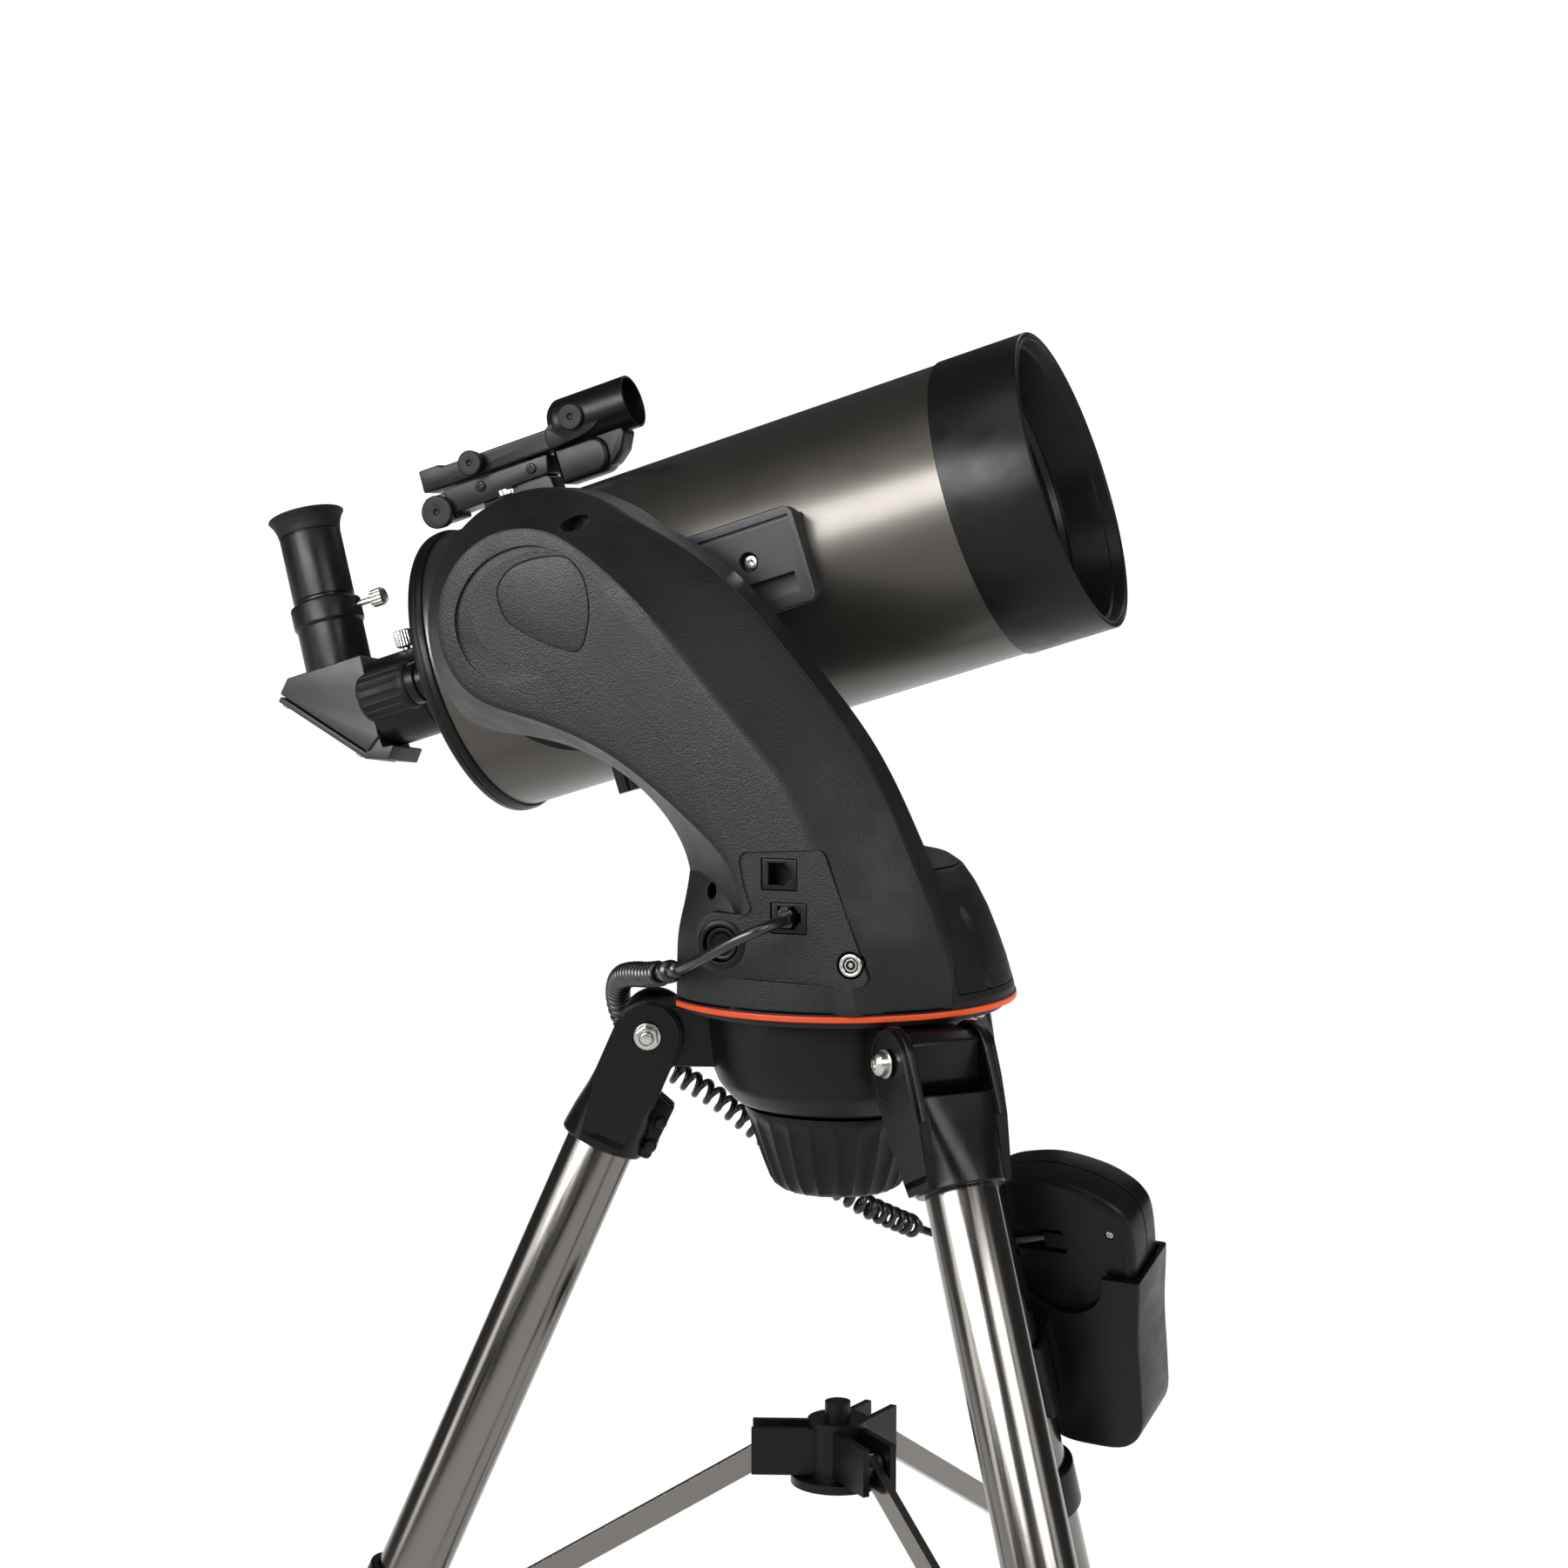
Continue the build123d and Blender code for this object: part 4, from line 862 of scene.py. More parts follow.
def head_cup():
    """Cup under the mount with an ear for each leg."""
    cup = lathe(rounded([(-5.4, 10), (-5.4, 61, 1), (-15, 61, 20), (-31, 59.2, 28), (-41.5, 55, 12),
                         (-49.6, 48, 9), (-51.4, 42.5, 2), (-51.4, 10)], 0.2, 5), "Z", 128)
    side = rounded([(50, -33.2, 0), (92, -33.2, 2), (96.5, -26, 4), (96.5, -8.5, 3), (90, -5.6, 3),
                    (50, -5.6, 0)], 1, 5)
    ears = []
    for azimuth in LEG_AZIMUTHS:
        ear = prism(side, -EAR_HALF, EAR_HALF, "Y", 0.8)
        ears.append(moved(ear, Matrix.Rotation(radians(azimuth), 4, "Z")))
    return union(cup, *ears)


def fluted_knob():
    """Large hand knob: a cone with long flutes and a smooth collar above them."""
    outer = [(-52, 38.0, 0), (-52.6, 43.2, 0), (-55, 43.0, 0), (-57, 42.2, 0.3), (-62, 40.6, 1),
             (-76, 35.8, 1), (-85, 32.3, 1), (-89, 29.8, 0.8), (-91.2, 26.6, 0.4), (-92, 21, 0),
             (-92.2, 12, 0), (-92.2, 0)]
    return lathe([(-52, 0), *outer], "Z", 240, ribs=24, depth=1.9, sharp=0.55)


def half_circle(r):
    return [(r * cos(t), r * sin(t)) for t in (pi * k / 20 for k in range(21))]


# Sections of the bracket's socket: height, half width, half depth and squareness (2 is an ellipse).
SOCKET_SECTIONS = [(-58.4, 19.2, 19.2, 2), (-57.6, 19.7, 19.7, 2), (-55, 19.6, 19.6, 2),
                   (-46, 18.6, 19.4, 2.5), (-34, 16.8, 20.2, 3.4), (-24, 15.9, 21.2, 4.6),
                   (-19.6, 15.6, 21.4, 5), (-19.0, 14.8, 20.6, 5)]
SOCKET_BORE = 15.9
# Near and far side of each cheek, of its outer plate, of the rib inside, and of the plate's sunk face.
CHEEK_LAYERS = [(17.5, 21.2), (20.8, 23.9), (13, 21.0), (23.0, 26.0)]


def clevis():
    """Bracket at the top of a leg: two ribbed cheeks that run down into a round, flared socket."""
    taper = [(-23.6, 20), (23.6, 20), (23.6, -12), (20.6, -57.4), (-20.6, -57.4), (-23.6, -12)]
    taper = prism(taper, -40, 40, "X")
    socket_rings = []
    for z, half_x, half_y, power in SOCKET_SECTIONS:
        ring = []
        for k in range(96):
            t = 2 * pi * k / 96
            c, w = cos(t), sin(t)
            scale = (abs(c) ** power + abs(w) ** power) ** (-1 / power)
            ring.append((half_x * c * scale, half_y * w * scale, z))
        socket_rings.append(ring)
    parts = [cut(skin(socket_rings), rod(SOCKET_BORE, -70, -57, "Z"))]
    cheek_outline = half_circle(15.8) + [(-15.8, -30), (15.8, -30)]
    window = half_circle(12.3) + [(-12.3, -34), (12.3, -34)]
    plate_outline = half_circle(14.7) + [(-14.2, -30), (-9.5, -57.4), (9.5, -57.4), (14.2, -30)]
    for side in (-1, 1):
        inner, outer, rib_span, face = (sorted((side * a, side * b)) for a, b in CHEEK_LAYERS)
        parts.append(common(prism(cheek_outline, *inner, "Y", 0.5), taper))
        rib = common(prism(plate_outline, *rib_span), taper)
        parts.append(cut(rib, rod(SOCKET_BORE, -70, 10, "Z"), block(-20, 20, -17.5, 17.5, -19, 20, axis="Z")))
        parts.append(cut(common(prism(plate_outline, *outer, "Y", 0.7), taper), prism(window, *face)))
    flange = rounded([(-24.6, -29, 2.5), (-15, -26, 1), (-15, -57, 1), (-23.6, -57, 2.5)], 1, 5)
    return together(*parts, prism(flange, -5, 5, "Y", 1.2))


def leg_clamp():
    """Clamp at the tube's lower end, with the boss of the lock knob."""
    profile = rounded([(-576, 13), (-576, 18.5, 2), (-570, 20.4, 2), (-526, 20.8, 2), (-520, 18.8, 2),
                       (-520, 16)], 0.5)
    boss = rod(8, 12, 27, "X", (0, -562), 1.0)
    slit = block(14, 24, -1, 1, -577, -545)
    return cut(union(lathe(profile, "Z", 72), boss), slit)


def strut_band():
    """Band round the leg with the two lugs of the brace's pin."""
    band = lathe(rounded([(-314, 16), (-314, 19.5, 1.5), (-286, 19.5, 1.5), (-286, 16)], 0.3), "Z", 72)
    lugs = []
    for y in (-7.5, 7.5):
        outline = rounded([(-34, -306, 6), (-15, -306, 0), (-15, -294, 0), (-34, -294, 6)], 1, 6)
        lugs.append(prism(outline, y - 1.9, y + 1.9, "Y", 0.4))
    return cut(union(band, *lugs), rod(2.5, -12, 12, "Y", (-28, -300)))


def boot(matrix):
    """Rubber boot of the leg with this frame, cut flat where it stands."""
    profile = [(-665, 0), (-665, 9), (-661, 13), (-655, 14.8), (-650, 15), (-646, 15), (-645, 14.2),
               (-643, 14.2), (-642, 15), (-638, 15), (-637, 14.2), (-635, 14.2), (-634, 15), (-627, 14.8),
               (-625, 13.6), (-624, 12.6), (-624, 0)]
    placing = matrix.copy()
    placing.translation = matrix.translation / MM
    floor = moved(block(-2000, 2000, -2000, 2000, -60, 0, axis="Z"), placing.inverted())
    return cut(lathe(profile, "Z", 64), floor)


def hinge_hardware():
    """Bolt through a hinge: a nut on one side, a domed head and washer on the other."""
    nut = together(cut(hexagon(9.6, 24.6, 29.4), rod(3.5, 28.2, 32, "Y")), rod(2.9, 23, 30.4, "Y", edge=0.6),
                   rod(6.2, 24.0, 24.8, "Y"))
    head = [(-24, 0, 0), (-24, 6.4), (-24.9, 6.4), (-24.9, 5.4, 0.2), (-28.4, 5.0, 2.2), (-30.0, 2.6, 4),
            (-30.2, 0, 0)]
    head = lathe(rounded(head, 0.3, 5), "Y", 48)
    return together(nut, cut(head, hexagon(4, -32, -28.6)))


def flange_screws():
    """Two screws through the bracket's flange, with a nut-shaped end on each side."""
    parts = []
    for z in (-38, -50):
        at = (-21.5, z)
        parts += [rod(3.0, -7.6, 7.6, "Y", at, 1.0), hexagon(4.4, -8.6, -7.4, at), hexagon(4.4, 7.4, 8.6, at)]
    return together(*parts)


def leg_tube(low, high, inner, outer, sides):
    return lathe(rounded([(low, inner), (low, outer), (high, outer), (high, inner)], 0.3, 2), "Z", sides)


add("head_casting", head_cup(), BLACK, "root", MOUNT, "tripod_head", slot="black_casting")
add("mount_hand_knob", fluted_knob(), BLACK, "mount_knob", MOUNT, "mount_knob", smooth=50)
FITTINGS = together(clevis(), leg_clamp(), strut_band())
OUTER_TUBE, INNER_TUBE = leg_tube(-548, -24, 14.4, 15.87, 96), leg_tube(-636, -180, 11.5, 12.7, 72)
SCREWS, BOLT = flange_screws(), hinge_hardware()
for leg, matrix in LEGS.items():
    body = f"leg_{leg}"
    extension = f"{body}_extension"
    add(f"{body}_bracket", FITTINGS, CASTING, body, matrix, f"{body}_fittings")
    add(f"{body}_flange_screws", SCREWS, ANODISED, body, matrix)
    add(f"{body}_outer_tube", OUTER_TUBE, STEEL, body, matrix, f"{body}_tube")
    add(f"{body}_inner_tube", INNER_TUBE, STEEL, extension, matrix, extension)
    add(f"{body}_boot", boot(matrix), RUBBER, extension, matrix, f"{body}_foot")
    bolts = ["hinge_bolts"] if leg == "a" else []
    add(f"hinge_bolt_{leg}", BOLT, PLATED, "root", matrix, *bolts)

# ---------------------------------------------------------------- optical tube

TUBE_R = 72.0
FRONT, CELL_REAR, REAR = 221.5, 177.7, -99.7
LENS_R = 63.5
EYE_X, BACK_SCREW_X = -179.0, -137.0
FOCUS_AT, RAIL_SCREW_AT = (-40, 1.5), (83, 3)


def front_cell():
    """Ring that holds the corrector: a lip, a step inside it and a seat for the lens."""
    outside = [(CELL_REAR - 8, 64.6), (CELL_REAR - 8, 70.4), (CELL_REAR - 0.4, 70.4), (CELL_REAR, 72.9, 0.5)]
    lip = [(0, 72.9, 0.9), (0, 71.3, 0.4), (0.9, 71.0, 0.2), (0.9, 70.5, 0.2), (0, 70.2, 0.4), (0, 69.0, 0.6),
           (6, 68.2), (6, 66.8), (24, 65.2), (24, 60.5, 0.5), (26, 59.6, 0.5), (27, 59), (31, 59)]
    inside = [(FRONT - 31, LENS_R + 0.1), (CELL_REAR + 2, LENS_R + 0.1), (CELL_REAR + 2, 59), (CELL_REAR, 59)]
    points = outside + [(FRONT - back, *rest) for back, *rest in lip] + inside
    return lathe(rounded(points, 0.25, 3), "X", 224)


def rear_cell():
    """Plate at the tube's rear with a grooved rim, a sunk ring in its face and the focuser's hole."""
    rim = [(-91.8, 20), (-91.8, 73.2, 0.8), (-94.6, 74, 0.6), (-95.4, 73.5, 0.3), (-96.2, 74, 0.5),
           (REAR, 73.4, 1.6)]
    face = [(REAR, 64, 0.5), (REAR + 1.4, 62, 0.5), (REAR + 1.4, 34, 0.5), (REAR, 32, 0.5), (REAR, 15.1),
            (-84, 15.1), (-84, 20)]
    collar = lathe([(-91, 60), (-91, 70.4), (-82, 70.4), (-82, 60)])
    plate = union(lathe(rounded(rim + face, 0.3), "X", 192), collar)
    return cut(plate, rod(3.2, -110, -80, "X", FOCUS_AT))


def bulge(r):
    """How far a lens surface of 280 mm radius lies back at r from the axis."""
    return 280 - sqrt(280**2 - r * r)


def corrector():
    """Thick meniscus lens, hollow towards the front."""
    radii = [LENS_R * k / 16 for k in range(17)]
    front = [(FRONT - 33.6 + bulge(r), r) for r in radii]
    return lathe(front + [(FRONT - 45.6 + bulge(r), r) for r in reversed(radii)], "X", 128)


def secondary_spot():
    """Silvered spot at the middle of the corrector's rear face."""
    rim = FRONT - 46.6 + bulge(12)
    return lathe([(rim, 0.0), (rim, 13), (FRONT - 45.9 + bulge(13), 13), (FRONT - 45.7, 0.0)], "X", 64)


def visual_back():
    """Stepped socket behind the rear plate, with a hole for its thumbscrew."""
    profile = [(REAR, 15.2), (REAR, 25.2, 0.6), (-107.6, 25.2, 0.6), (-109, 23.2, 0.4), (-124, 23.2, 0.4),
               (-124.6, 22.7, 0.2), (-125.8, 22.7, 0.2), (-126.4, 23.2, 0.3), (-155.6, 23.2, 0.8),
               (-156.5, 22.4, 0.4), (-156.5, 16.1, 0.5), (-122, 16.1), (-122, 15.2)]
    return cut(lathe(rounded(profile, 0.2, 3)), rod(2.1, 15, 30, "Z", (BACK_SCREW_X, 0)))


def thumbscrew(radius, low, high, axis, at, shaft_r, shaft_low, ribs):
    """Knurled head with plain rims, on a thin shaft."""
    profile = [(low, 0), (low, radius * 0.72), (low + 0.7, radius * 0.94), (low + 1.4, radius, 1),
               (high - 1.2, radius, 1), (high - 0.5, radius * 0.93), (high, radius * 0.8),
               (high - 0.35, radius * 0.55), (high - 0.35, 0)]
    head = lathe(profile, axis, ribs * 6, at, ribs, 0.45, 0.7)
    return together(head, rod(shaft_r, shaft_low, low + 1, axis, at))


def focus_grip():
    """Ribbed rubber grip of the focus knob."""
    profile = [(-146.6, 0), (-147, 9.4), (-146.2, 11.6), (-144.8, 12.3, 0.2), (-143.6, 12.4, 1),
               (-123.6, 12.4, 1), (-122.4, 12.2, 0.2), (-120.6, 11.9), (-119.4, 11.0), (-119.2, 8),
               (-119.2, 0)]
    return lathe(profile, "X", 216, FOCUS_AT, 18, 0.9, 0.3)


def focus_collar():
    profile = rounded([(-120.4, 0, 0), (-120.4, 10.6), (-114.6, 10.6, 0.8), (-114, 9), (-100.3, 9),
                       (-100.3, 0, 0)], 0.4)
    return together(lathe(profile, "X", 72, FOCUS_AT), rod(3, -101, -87, "X", FOCUS_AT))


def mount_rail():
    """Dovetail rail along the tube's side, rounded at its front corners and grooved."""
    half = [(23, -84, 1.0), (23, -79, 0.4), (19, -74, 0.4), (19, -60, 0)]
    section = rounded([(-23, -84, 1.0), *half, *[(-z, y, r) for z, y, r in half[:0:-1]]], 0.5, 3)
    corners = rounded([(-56, -23, 0), (110, -23, 5), (110, 23, 5), (-56, 23, 0)], 1, 6)
    rail = common(prism([(y, z) for z, y in section], -56, 110, "X"), prism(corners, -90, -50))
    groove = block(-60, 103, -86, -79.4, -16.5, -7.2, 0, 0.4, "X")
    line = block(-60, 107.5, -86, -82.6, 16.4, 18.8, 0, 0.4, "X")
    return cut(rail, groove, line, rod(4.7, -90, -78, "Y", RAIL_SCREW_AT),
               rod(TUBE_R - 0.3, -300, 300, sides=160))


def rail_screw():
    return cut(rod(3.6, -81, -77, "Y", RAIL_SCREW_AT, 1.0), hexagon(2.6, -82, -79.4, RAIL_SCREW_AT))


shell = lathe([(-92.2, 70.5), (-92.2, 72), (178.5, 72), (178.5, 70.5)], "X", 192)
add("tube_shell", shell, TUBE_PAINT, "optical_tube", OTA, "tube")
add("front_ring", front_cell(), CELL, "optical_tube", OTA, "front_cell")
add("rear_plate", rear_cell(), CELL, "optical_tube", OTA, "rear_cell")
add("corrector_glass", corrector(), CLEAR, "optical_tube", OTA, "corrector_lens", smooth=50)
add("secondary_spot", secondary_spot(), MIRROR, "optical_tube", OTA)
add("back_socket", visual_back(), ANODISED, "optical_tube", OTA, "visual_back")
back_screw = thumbscrew(4.9, 24.4, 33.4, "Z", (BACK_SCREW_X, 0), 2.0, 17, 22)
add("back_thumbscrew", back_screw, PLATED, "visual_back_screw", OTA, "visual_back_screw")
add("focus_grip", focus_grip(), RUBBER, "focus_knob", OTA, "focus_knob", smooth=40)
add("focus_collar", focus_collar(), ANODISED, "focus_knob", OTA)
add("mount_rail", mount_rail(), GREY_ANODISED, "optical_tube", OTA, "dovetail_rail")
add("rail_screw", rail_screw(), PLATED, "optical_tube", OTA)

# ---------------------------------------------------------------- finder

SIDE = -2.0
SIGHT_AT, DIAL_AT = (SIDE, 104.5), (-7.9, 105.2)
REAR_KNOB_AT, TOP_KNOB_AT = (-92.6, 82.6), (-66.5, 100)


def bar_at_side(points, radius, left, right, edge=0.0, steps=4):
    """Rounded side view drawn out to both sides of the finder's middle plane."""
    return prism(rounded(points, radius, steps), SIDE - left, SIDE + right, "Y", edge)


def crossed_screw(at, y, r=2.7):
    """Screw head with a crossed slot, facing -Y."""
    x, z = at
    slots = [block(x - a, x + a, y - 2, y - 0.6, z - b, z + b) for a, b in ((1.7, 0.35), (0.35, 1.7))]
    return cut(rod(r, y - 1.1, y + 0.5, "Y", at, 0.6, 32), *slots)


def finder_shoe():
    """Shoe on the tube: foot, body, the rear knob's lug and the post that the finder tilts on."""
    lower = [(-86, 79.6, 1), (-60, 80, 2), (-48, 83, 3), (-30, 83, 1.5), (-27.6, 92.6, 1), (-87.6, 92.6, 1)]
    foot = [(-70, 68, 0), (-29, 68, 0), (-30, 82, 2), (-36, 85, 1), (-68, 85, 1)]
    lug = [(-101, 77.6, 5), (-84, 77.6, 1), (-84, 91.6, 1), (-100, 91.6, 2)]
    post = prism([(-41, 88), (-32.2, 88), (-32.2, 101), (-41, 101)], SIDE - 3, SIDE + 3)
    base = union(bar_at_side(lower, 1, 9.4, 9.4, 0.6), bar_at_side(foot, 1, 7.5, 7.5, 0.6),
                 bar_at_side(lug, 1, 7, 9, 0.6, 5), post)
    knob_hole = rod(2.6, SIDE - 12, SIDE + 4, "Y", REAR_KNOB_AT)
    return cut(base, rod(TUBE_R - 0.2, -200, 200, sides=160), knob_hole)


def finder_body():
    """Top bar, lens tube with a rounded rear, curved neck and the round battery housing."""
    bar = [(-97.6, 94, 1), (-23, 93.6, 1), (-19, 104, 1), (-84.6, 104, 0.3), (-85.8, 105.4, 0.6),
           (-97.2, 105.4, 1)]
    barrel = [(-23.6, 0, 0), (-23.6, 9.4, 6), (-18.6, 13.3, 5), (21, 13.3, 0.5), (21, 12.1, 0.3), (-15, 11.7),
              (-15, 0, 0)]
    cheek = [(-23.5, 104), (-24, 94.2), (-14, 94.0), (-7, 94.6), (0, 96), (5.6, 99.4), (9.6, 105.2),
             (4, 108), (-10, 108)]
    neck = [(-6, 77.6, 4), (3, 77.4, 6), (10, 82.6, 5), (14.4, 90.6, 2), (13, 93.4, 1.5), (11, 97, 1),
            (-6, 97, 0)]
    battery = [(-24.6, 75.4, 1.5), (3.6, 75.4, 8), (3.6, 93.2, 7), (-24.6, 93.6, 1)]
    side = prism(smooth_loop(cheek), SIDE - 12.4, SIDE + 12.4, "Y", 0.8)
    side = union(side, bar_at_side(bar, 1, 10.2, 10.2, 0.7))
    whole = union(lathe(rounded(barrel, 0.4, 7), "X", 80, SIGHT_AT), side,
                  bar_at_side(neck, 1, 6.6, 7.4, 0.8, 5), bar_at_side(battery, 1, 9.6, 9.6, 2.2, 7))
    slot = block(-43, -29, SIDE - 3.4, SIDE + 3.4, 92, 102.4)
    return cut(whole, rod(11.75, -15, 40, "X", SIGHT_AT, sides=72), slot,
               rod(2.6, SIDE - 12, SIDE + 4, "Y", TOP_KNOB_AT))


def dial(at, radius, y, depth=6.0):
    """Round thumb knob with a dimple in its face."""
    face = y - depth
    profile = [(y, 0, 0), (y, radius - 0.5), (face + 0.6, radius), (face, radius - 0.6), (face, 1.7, 0.3),
               (face + 1.0, 1.0, 0.2), (face + 1.0, 0, 0)]
    return together(lathe(rounded(profile, 0.4, 3), "Y", 56, at), rod(2.4, y - 1, SIDE + 3, "Y", at))


add("finder_shoe", finder_shoe(), ANODISED, "optical_tube", OTA, "finder_bracket")
shoe_screws = [crossed_screw((x, 88.2), SIDE - 9.4) for x in (-37.8, -66.9)]
add("finder_shoe_screws", together(*shoe_screws), ANODISED, "optical_tube", OTA)
shoe_nut = thumbscrew(6.2, 79.4, 83.4, "Z", (-56, SIDE - 4), 2.0, 76, 20)
add("finder_shoe_nut", shoe_nut, PLATED, "optical_tube", OTA)
add("finder_body", finder_body(), BLACK, "finder", OTA, "finder_sight")
window_place = Matrix.Translation((10, *SIGHT_AT)) @ Matrix.Rotation(radians(6), 4, "Y")
add("finder_window", moved(rod(11.7, -0.7, 0.7, edge=0.2, sides=64), window_place), CLEAR, "finder", OTA)
add("finder_dial", dial(DIAL_AT, 6.6, SIDE - 12.2, 3.4), BLACK_MATT, "finder", OTA)
add("finder_rear_knob", dial(REAR_KNOB_AT, 8.4, SIDE - 7.4), BLACK_MATT, "finder_knob_rear", OTA,
    "finder_knob_rear")
add("finder_top_knob", dial(TOP_KNOB_AT, 6.4, SIDE - 10.4), BLACK_MATT, "finder_knob_top", OTA,
    "finder_knob_top")

# ---------------------------------------------------------------- diagonal and eyepiece

EYE_AT, HOLDER_SCREW_AT = (EYE_X, 0), (0, 54.8)
SLANT_RUN, SLANT_DROP = 42.3, 43.1


def diagonal_body():
    """Prism-shaped case with a lug under its corner and the nose that goes into the visual back."""
    outline = rounded([(-201, 25, 1.2), (-156.8, 24.6), (-156.8, -19), (-165, -24.6), (-207, 18.3)], 0.8, 3)
    lug = rounded([(-165, -20, 0), (-157.4, -18, 0), (-156.6, -24.4, 0.6), (-149.8, -25), (-155, -31.6),
                   (-168, -27)], 0.8)
    nose = [(-158, 13.6), (-158, 19, 1), (-155, 19, 0.6), (-154.6, 15.87), (-124, 15.87, 0.6), (-124, 13.6)]
    return union(prism(outline, -17, 17, "Y", 0.7), prism(lug, -15.4, 15.4, "Y", 0.6),
                 lathe(rounded(nose, 0.3), "X", 80))


def holder():
    """Eyepiece holder: a plain tube with a wider ring at its mouth."""
    profile = [(24, 16.1), (24, 17.2), (47.6, 17.2, 0.6), (49.2, 18.4, 0.8), (60.4, 18.4, 1),
               (60.4, 16.1, 0.6)]
    return cut(lathe(rounded(profile, 0.4), "Z", 96, EYE_AT), rod(2.1, -166, -150, "X", HOLDER_SCREW_AT))


def mirror_cover():
    """Plate over the diagonal's mirror, along its slanting side."""
    slant = [(-207.6, 17.2), (-165.3, 17.2 - SLANT_DROP), (-167.4, -28.0, 0.8), (-209.7, 15.1, 0.8)]
    return prism(rounded(slant, 0.5), -15.6, 15.6, "Y", 0.5)


def cover_screws():
    """Four flat screw heads square to the slanting plate."""
    head = lathe(rounded([(0, 0, 0), (0, 2.1), (-1.7, 2.0, 0.9), (-1.7, 0, 0)], 0.2), "Z", 24)
    tilt = Matrix.Rotation(pi / 2 - atan2(SLANT_DROP, SLANT_RUN), 4, "Y")
    places = [(-206.8 + along, y, 12.7 - along * SLANT_DROP / SLANT_RUN) for along in (0, 35.6)
              for y in (12, -12)]
    return together(*[moved(head, Matrix.Translation(place) @ tilt) for place in places])


def eyepiece_barrel():
    """Barrel in the holder, grooved grip above it, and a bevelled top."""
    profile = [(33, 13), (33, 15.87, 0.4), (61, 15.87, 0.4), (61.4, 15.3, 0.2), (62.6, 15.3, 0.2),
               (63, 16.0), (97.4, 16.0, 0.5), (97.8, 15.6, 0.2), (98.8, 15.6, 0.2), (98.8, 12), (101, 9.6),
               (101, 9), (36, 9), (36, 13)]
    return lathe(rounded(profile, 0.3, 3), "Z", 96, EYE_AT)


def eyecup():
    """Soft flared cup round the eye lens."""
    profile = [(98.3, 9.5), (98.3, 16.1), (101.5, 16.6, 4), (105.2, 17.9, 5), (108.3, 20.0, 1),
               (108.9, 19.2, 0.5), (106, 16.2, 3), (102.4, 14.2, 2), (101.8, 9.5, 0.5)]
    return lathe(rounded(profile, 0.4, 5), "Z", 96, EYE_AT)


add("diagonal_box", diagonal_body(), GREY_ANODISED, "diagonal", DIAGONAL, "diagonal_housing")
add("eyepiece_holder", holder(), ANODISED, "diagonal", DIAGONAL)
add("mirror_cover", mirror_cover(), GREY_ANODISED, "diagonal", DIAGONAL)
add("mirror_cover_screws", cover_screws(), PLATED, "diagonal", DIAGONAL)
holder_screw = thumbscrew(4.7, -152.0, -144.4, "X", HOLDER_SCREW_AT, 1.6, -163, 18)
add("holder_thumbscrew", holder_screw, PLATED, "diagonal_screw", DIAGONAL, "diagonal_screw")
add("eyepiece_barrel", eyepiece_barrel(), ANODISED, "eyepiece", DIAGONAL, "eyepiece")
add("eyecup", eyecup(), RUBBER, "eyepiece", DIAGONAL)
eye_side = [(100.5 + 1.2 * (1 - (k / 8) ** 2), 9.2 * k / 8) for k in range(9)]
for lens_name, lens_profile in (("eye_lens", [*eye_side, (98, 9.2), (98, 0)]),
                                ("field_lens", [(37, 0), (37, 9.2), (39, 9.2), (39, 0)])):
    add(lens_name, lathe(lens_profile, "Z", 64, EYE_AT), CLEAR, "eyepiece", DIAGONAL, smooth=50)

# ---------------------------------------------------------------- hand control

HAND_SIDE, HAND_TOP, HAND_LENGTH = -23.5, 119.0, 165.0
HAND_BACK, HAND_FRONT = 25.0, 55.0
CASE_SCREWS_AT = [(HAND_SIDE + side * 33, -HAND_TOP - 30) for side in (-1, 1)]


def hand_outline(grow=0.0):
    """Outline of the hand control, wide at the top, or one that is larger all round."""
    half = [(22, 3.6), (35, 9.5), (43, 17), (46, 28), (43.5, 54), (36, 92), (31, 130), (27, 152), (17, 163)]
    points = [(0, 0)] + half + [(0, HAND_LENGTH)] + [(-x, d) for x, d in reversed(half)]
    loop = smooth_loop([(HAND_SIDE + x, -HAND_TOP - d) for x, d in points], 5)
    return inset(loop, -grow) if grow else loop


def hand_block(half, down, up, low, high, corner):
    """Rounded bar along X, half wide to each side of the hand control's middle, between two depths."""
    return block(low, high, HAND_SIDE - half, HAND_SIDE + half, -HAND_TOP - down, -HAND_TOP - up, 0, corner,
                 "X")


def hand_shell():
    """Hand control seen from behind: a raised rim round a flat back with a recess for the plug."""
    body = prism(hand_outline(), HAND_BACK, HAND_FRONT, "X", 4.0)
    field = prism(inset(hand_outline(), 5.2), HAND_BACK - 2, HAND_BACK + 1.1, "X")
    seam = cut(prism(hand_outline(2), 41.0, 41.9, "X"), prism(inset(hand_outline(), 0.8), 40, 43, "X"))
    recess = [(-7, 46), (33, 46), (33, 33), (-7, 31)]
    recess = rounded([(HAND_SIDE + x, -HAND_TOP - down) for x, down in recess], 3)
    holes = [rod(2.6, HAND_BACK - 3, HAND_BACK + 4, "X", at) for at in CASE_SCREWS_AT]
    return cut(body, field, seam, prism(recess, HAND_BACK - 3, HAND_BACK + 9, "X"),
               hand_block(30, 118, 52, HAND_FRONT - 2, HAND_FRONT + 5, 3),
               hand_block(31, 42, 17, HAND_FRONT - 1, HAND_FRONT + 5, 2), *holes)


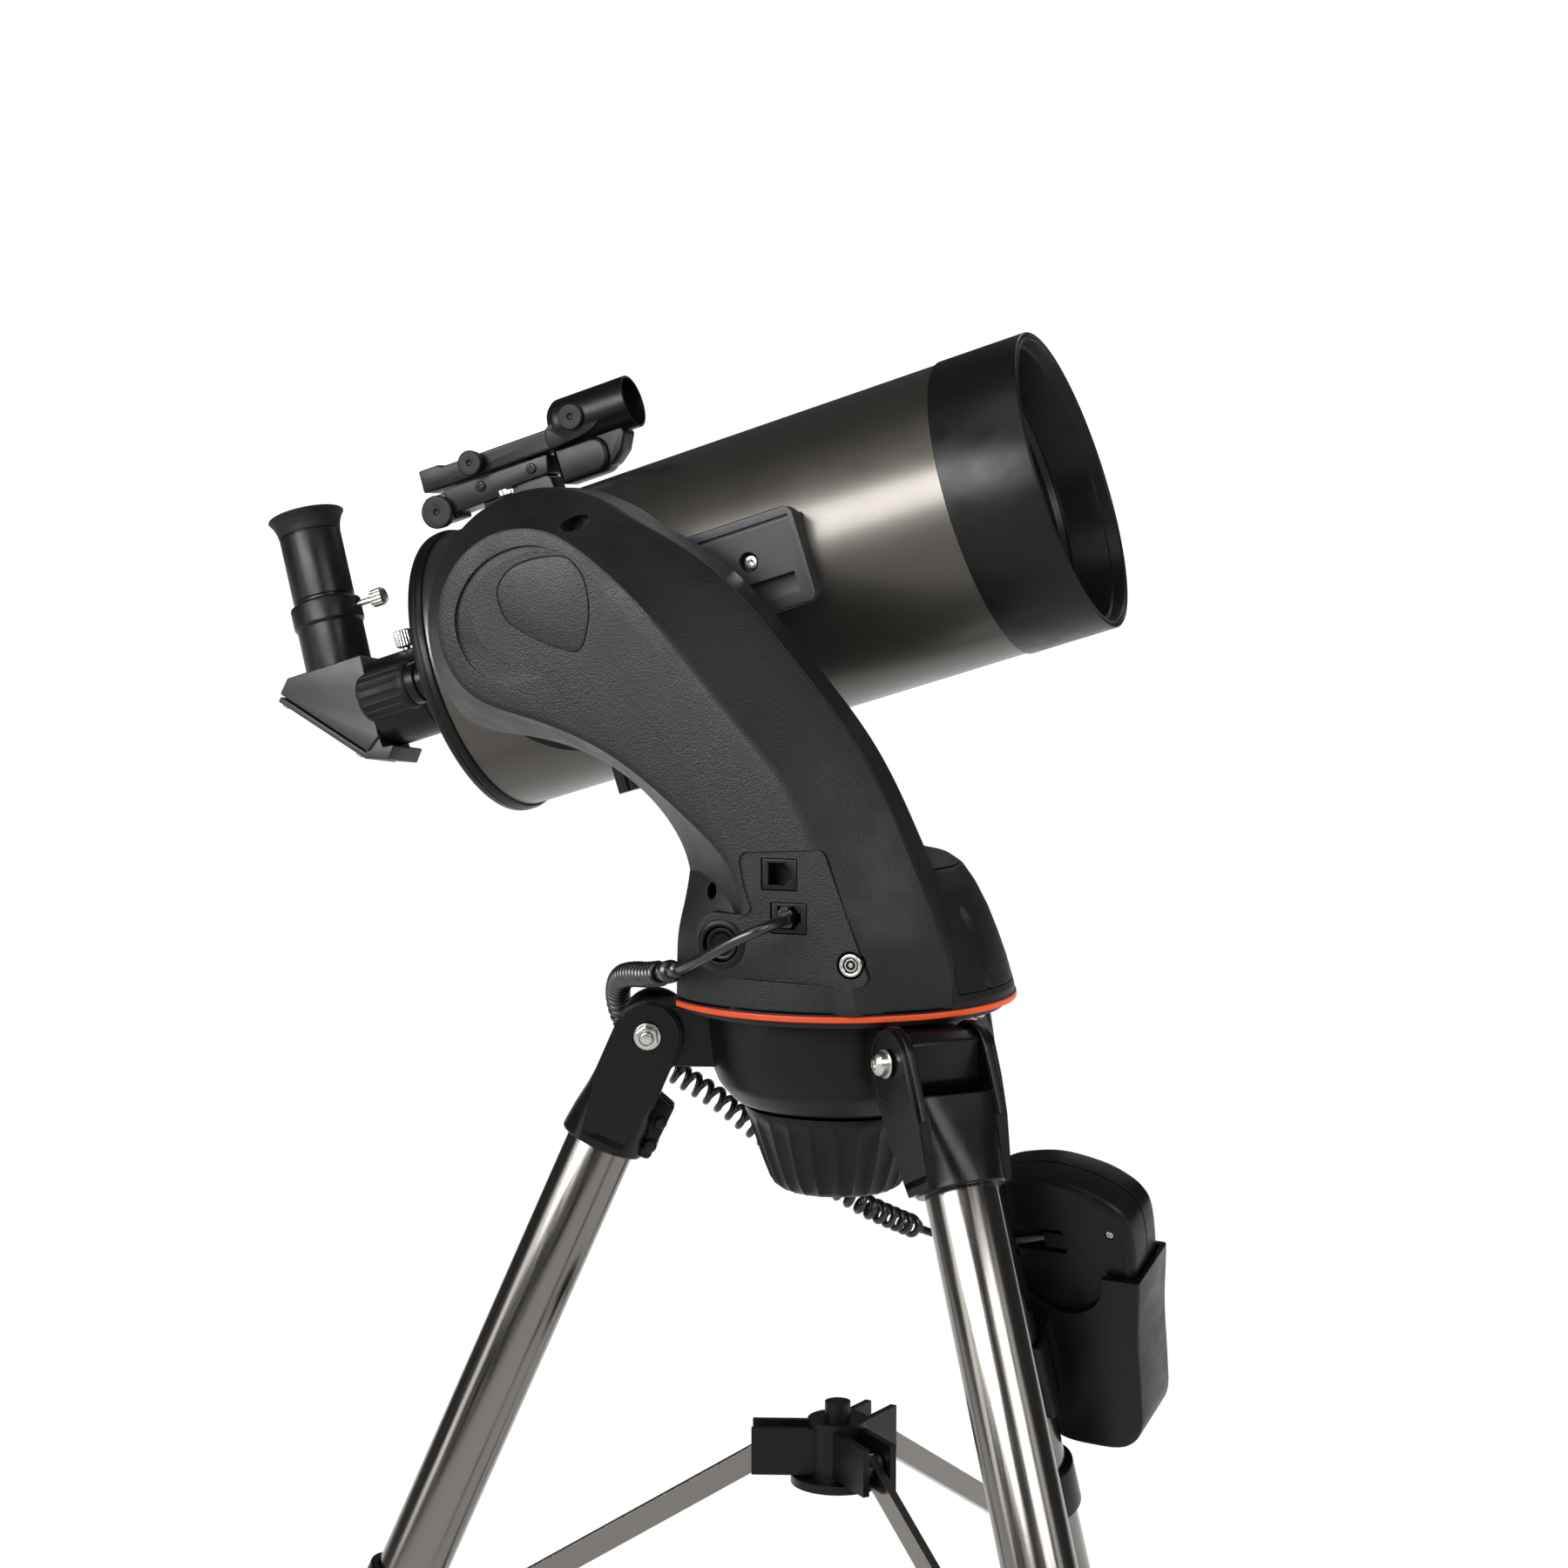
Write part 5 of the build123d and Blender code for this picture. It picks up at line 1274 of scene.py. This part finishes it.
def hand_holder():
    """Cradle round the lower half of the hand control, with its spring clip on the leg."""
    cup = prism(hand_outline(3.6), HAND_BACK - 3.5, HAND_FRONT + 3.5, "X", 2.0)
    hollow = prism(hand_outline(0.9), HAND_BACK - 0.6, HAND_FRONT + 0.8, "X")
    above = block(-10, 90, -140, 90, -HAND_TOP - 55, 20)
    mouth = hand_block(26, 148, -HAND_TOP - 20, HAND_FRONT - 1, 90, 4)
    scoop = rod(26, 0, HAND_BACK + 5, "X", (HAND_SIDE, -HAND_TOP - 55), sides=64)
    clip = lathe(rounded([(-250, 16), (-250, 20), (-205, 20), (-205, 16)], 1.0), "Z", 72)
    bridge = prism([(17, -14), (HAND_BACK - 2.6, -14), (HAND_BACK - 2.6, 8), (17, 8)], -250, -205, "Z")
    return together(cut(cup, hollow, above, mouth, scoop), cut(clip, block(-30, -4, -40, 40, -260, -200)),
                    bridge)


def hand_screws():
    head = moved(crossed_screw((0, 0), 0, 2.3), Matrix.Rotation(radians(-90), 4, "Z"))
    return together(*[moved(head, Matrix.Translation((HAND_BACK + 2.6, *at))) for at in CASE_SCREWS_AT])


add("hand_control_case", hand_shell(), BLACK, "hand_control", LEGS["c"], "handset_shell")
add("hand_control_screws", hand_screws(), PLATED, "hand_control", LEGS["c"])
add("hand_control_holder", hand_holder(), BLACK, "leg_c", LEGS["c"], "handset_holder")

# ---------------------------------------------------------------- stage


# Azimuth, elevation, distance, width, height and radiance; azimuth 0 is the side the arm faces.
SOFT_BOXES = {
    "key_box": (-24, 22, 1.3, 1.1, 0.5, 18),
    "side_box": (52, 28, 1.8, 0.9, 0.7, 8),
    "top_box": (-10, 62, 1.9, 1.4, 0.8, 2.2),
    "left_box": (-56, 14, 2.1, 0.5, 1.7, 3.0),
    "right_box": (84, 10, 2.1, 0.5, 1.9, 1.7),
    "back_box": (170, 38, 2.2, 1.6, 0.8, 1.6),
}
LIGHT_TARGET = Vector((0, 0, 0.72))
FLOOR_HALF, FLOOR_Z = 9.0, -0.0005
DIFFUSE_SKY, GLOSSY_SKY = 1.12, 0.07


def floor():
    """Pale paper under the feet."""
    mesh = bpy.data.meshes.new("floor")
    corners = [(FLOOR_HALF * x, FLOOR_HALF * y, FLOOR_Z) for x, y in ((-1, -1), (1, -1), (1, 1), (-1, 1))]
    mesh.from_pydata(corners, [], [(0, 1, 2, 3)])
    mesh.materials.append(Nodes("floor_paper", (0.96, 0.96, 0.955), 0.9).material)
    piece = bpy.data.objects.new("floor", mesh)
    bpy.context.scene.collection.objects.link(piece)


def sky():
    """White all round, but nearly dark in reflections, so that polished metal keeps its bands."""
    world = bpy.data.worlds.new("studio")
    bpy.context.scene.world = world
    world.use_nodes = True
    tree = world.node_tree
    background = tree.nodes["Background"]
    background.inputs["Color"].default_value = (1, 1, 1, 1)
    path = tree.nodes.new("ShaderNodeLightPath")
    level = tree.nodes.new("ShaderNodeMapRange")
    level.inputs["To Min"].default_value = DIFFUSE_SKY
    level.inputs["To Max"].default_value = GLOSSY_SKY
    tree.links.new(path.outputs["Is Glossy Ray"], level.inputs["Value"])
    tree.links.new(level.outputs["Result"], background.inputs["Strength"])


def soft_box(name, azimuth, elevation, distance, width, height, radiance):
    """Rectangular light that faces the mount and is seen only in reflections."""
    a, e = radians(azimuth), radians(elevation)
    place = LIGHT_TARGET + distance * Vector((sin(a) * cos(e), -cos(a) * cos(e), sin(e)))
    data = bpy.data.lights.new(name, "AREA")
    data.shape = "RECTANGLE"
    data.size, data.size_y = width, height
    data.energy = radiance * pi * width * height
    lamp = bpy.data.objects.new(name, data)
    lamp.location = place
    lamp.rotation_euler = (LIGHT_TARGET - place).to_track_quat("-Z", "Y").to_euler()
    lamp.visible_diffuse = False
    bpy.context.scene.collection.objects.link(lamp)


def camera():
    """Camera 1.3 m in front of the arm, slightly above the mount and looking a little down."""
    azimuth, pitch = radians(18.863), radians(5.107)
    data = bpy.data.cameras.new("camera")
    data.sensor_width = 36
    data.lens = 66.63
    data.clip_start = 0.05
    view = bpy.data.objects.new("camera", data)
    back = Vector((sin(azimuth) * cos(pitch), -cos(azimuth) * cos(pitch), sin(pitch)))
    right = Vector((cos(azimuth), sin(azimuth), 0))
    view.matrix_world = Matrix((right, back.cross(right), back)).transposed().to_4x4()
    view.location = (0.40473, -1.26223, RING_Z + 0.21397)
    bpy.context.scene.collection.objects.link(view)
    bpy.context.scene.camera = view


bpy.context.scene.view_settings.view_transform = "Standard"
floor()
sky()
for box_name, light in SOFT_BOXES.items():
    soft_box(box_name, *light)
camera()
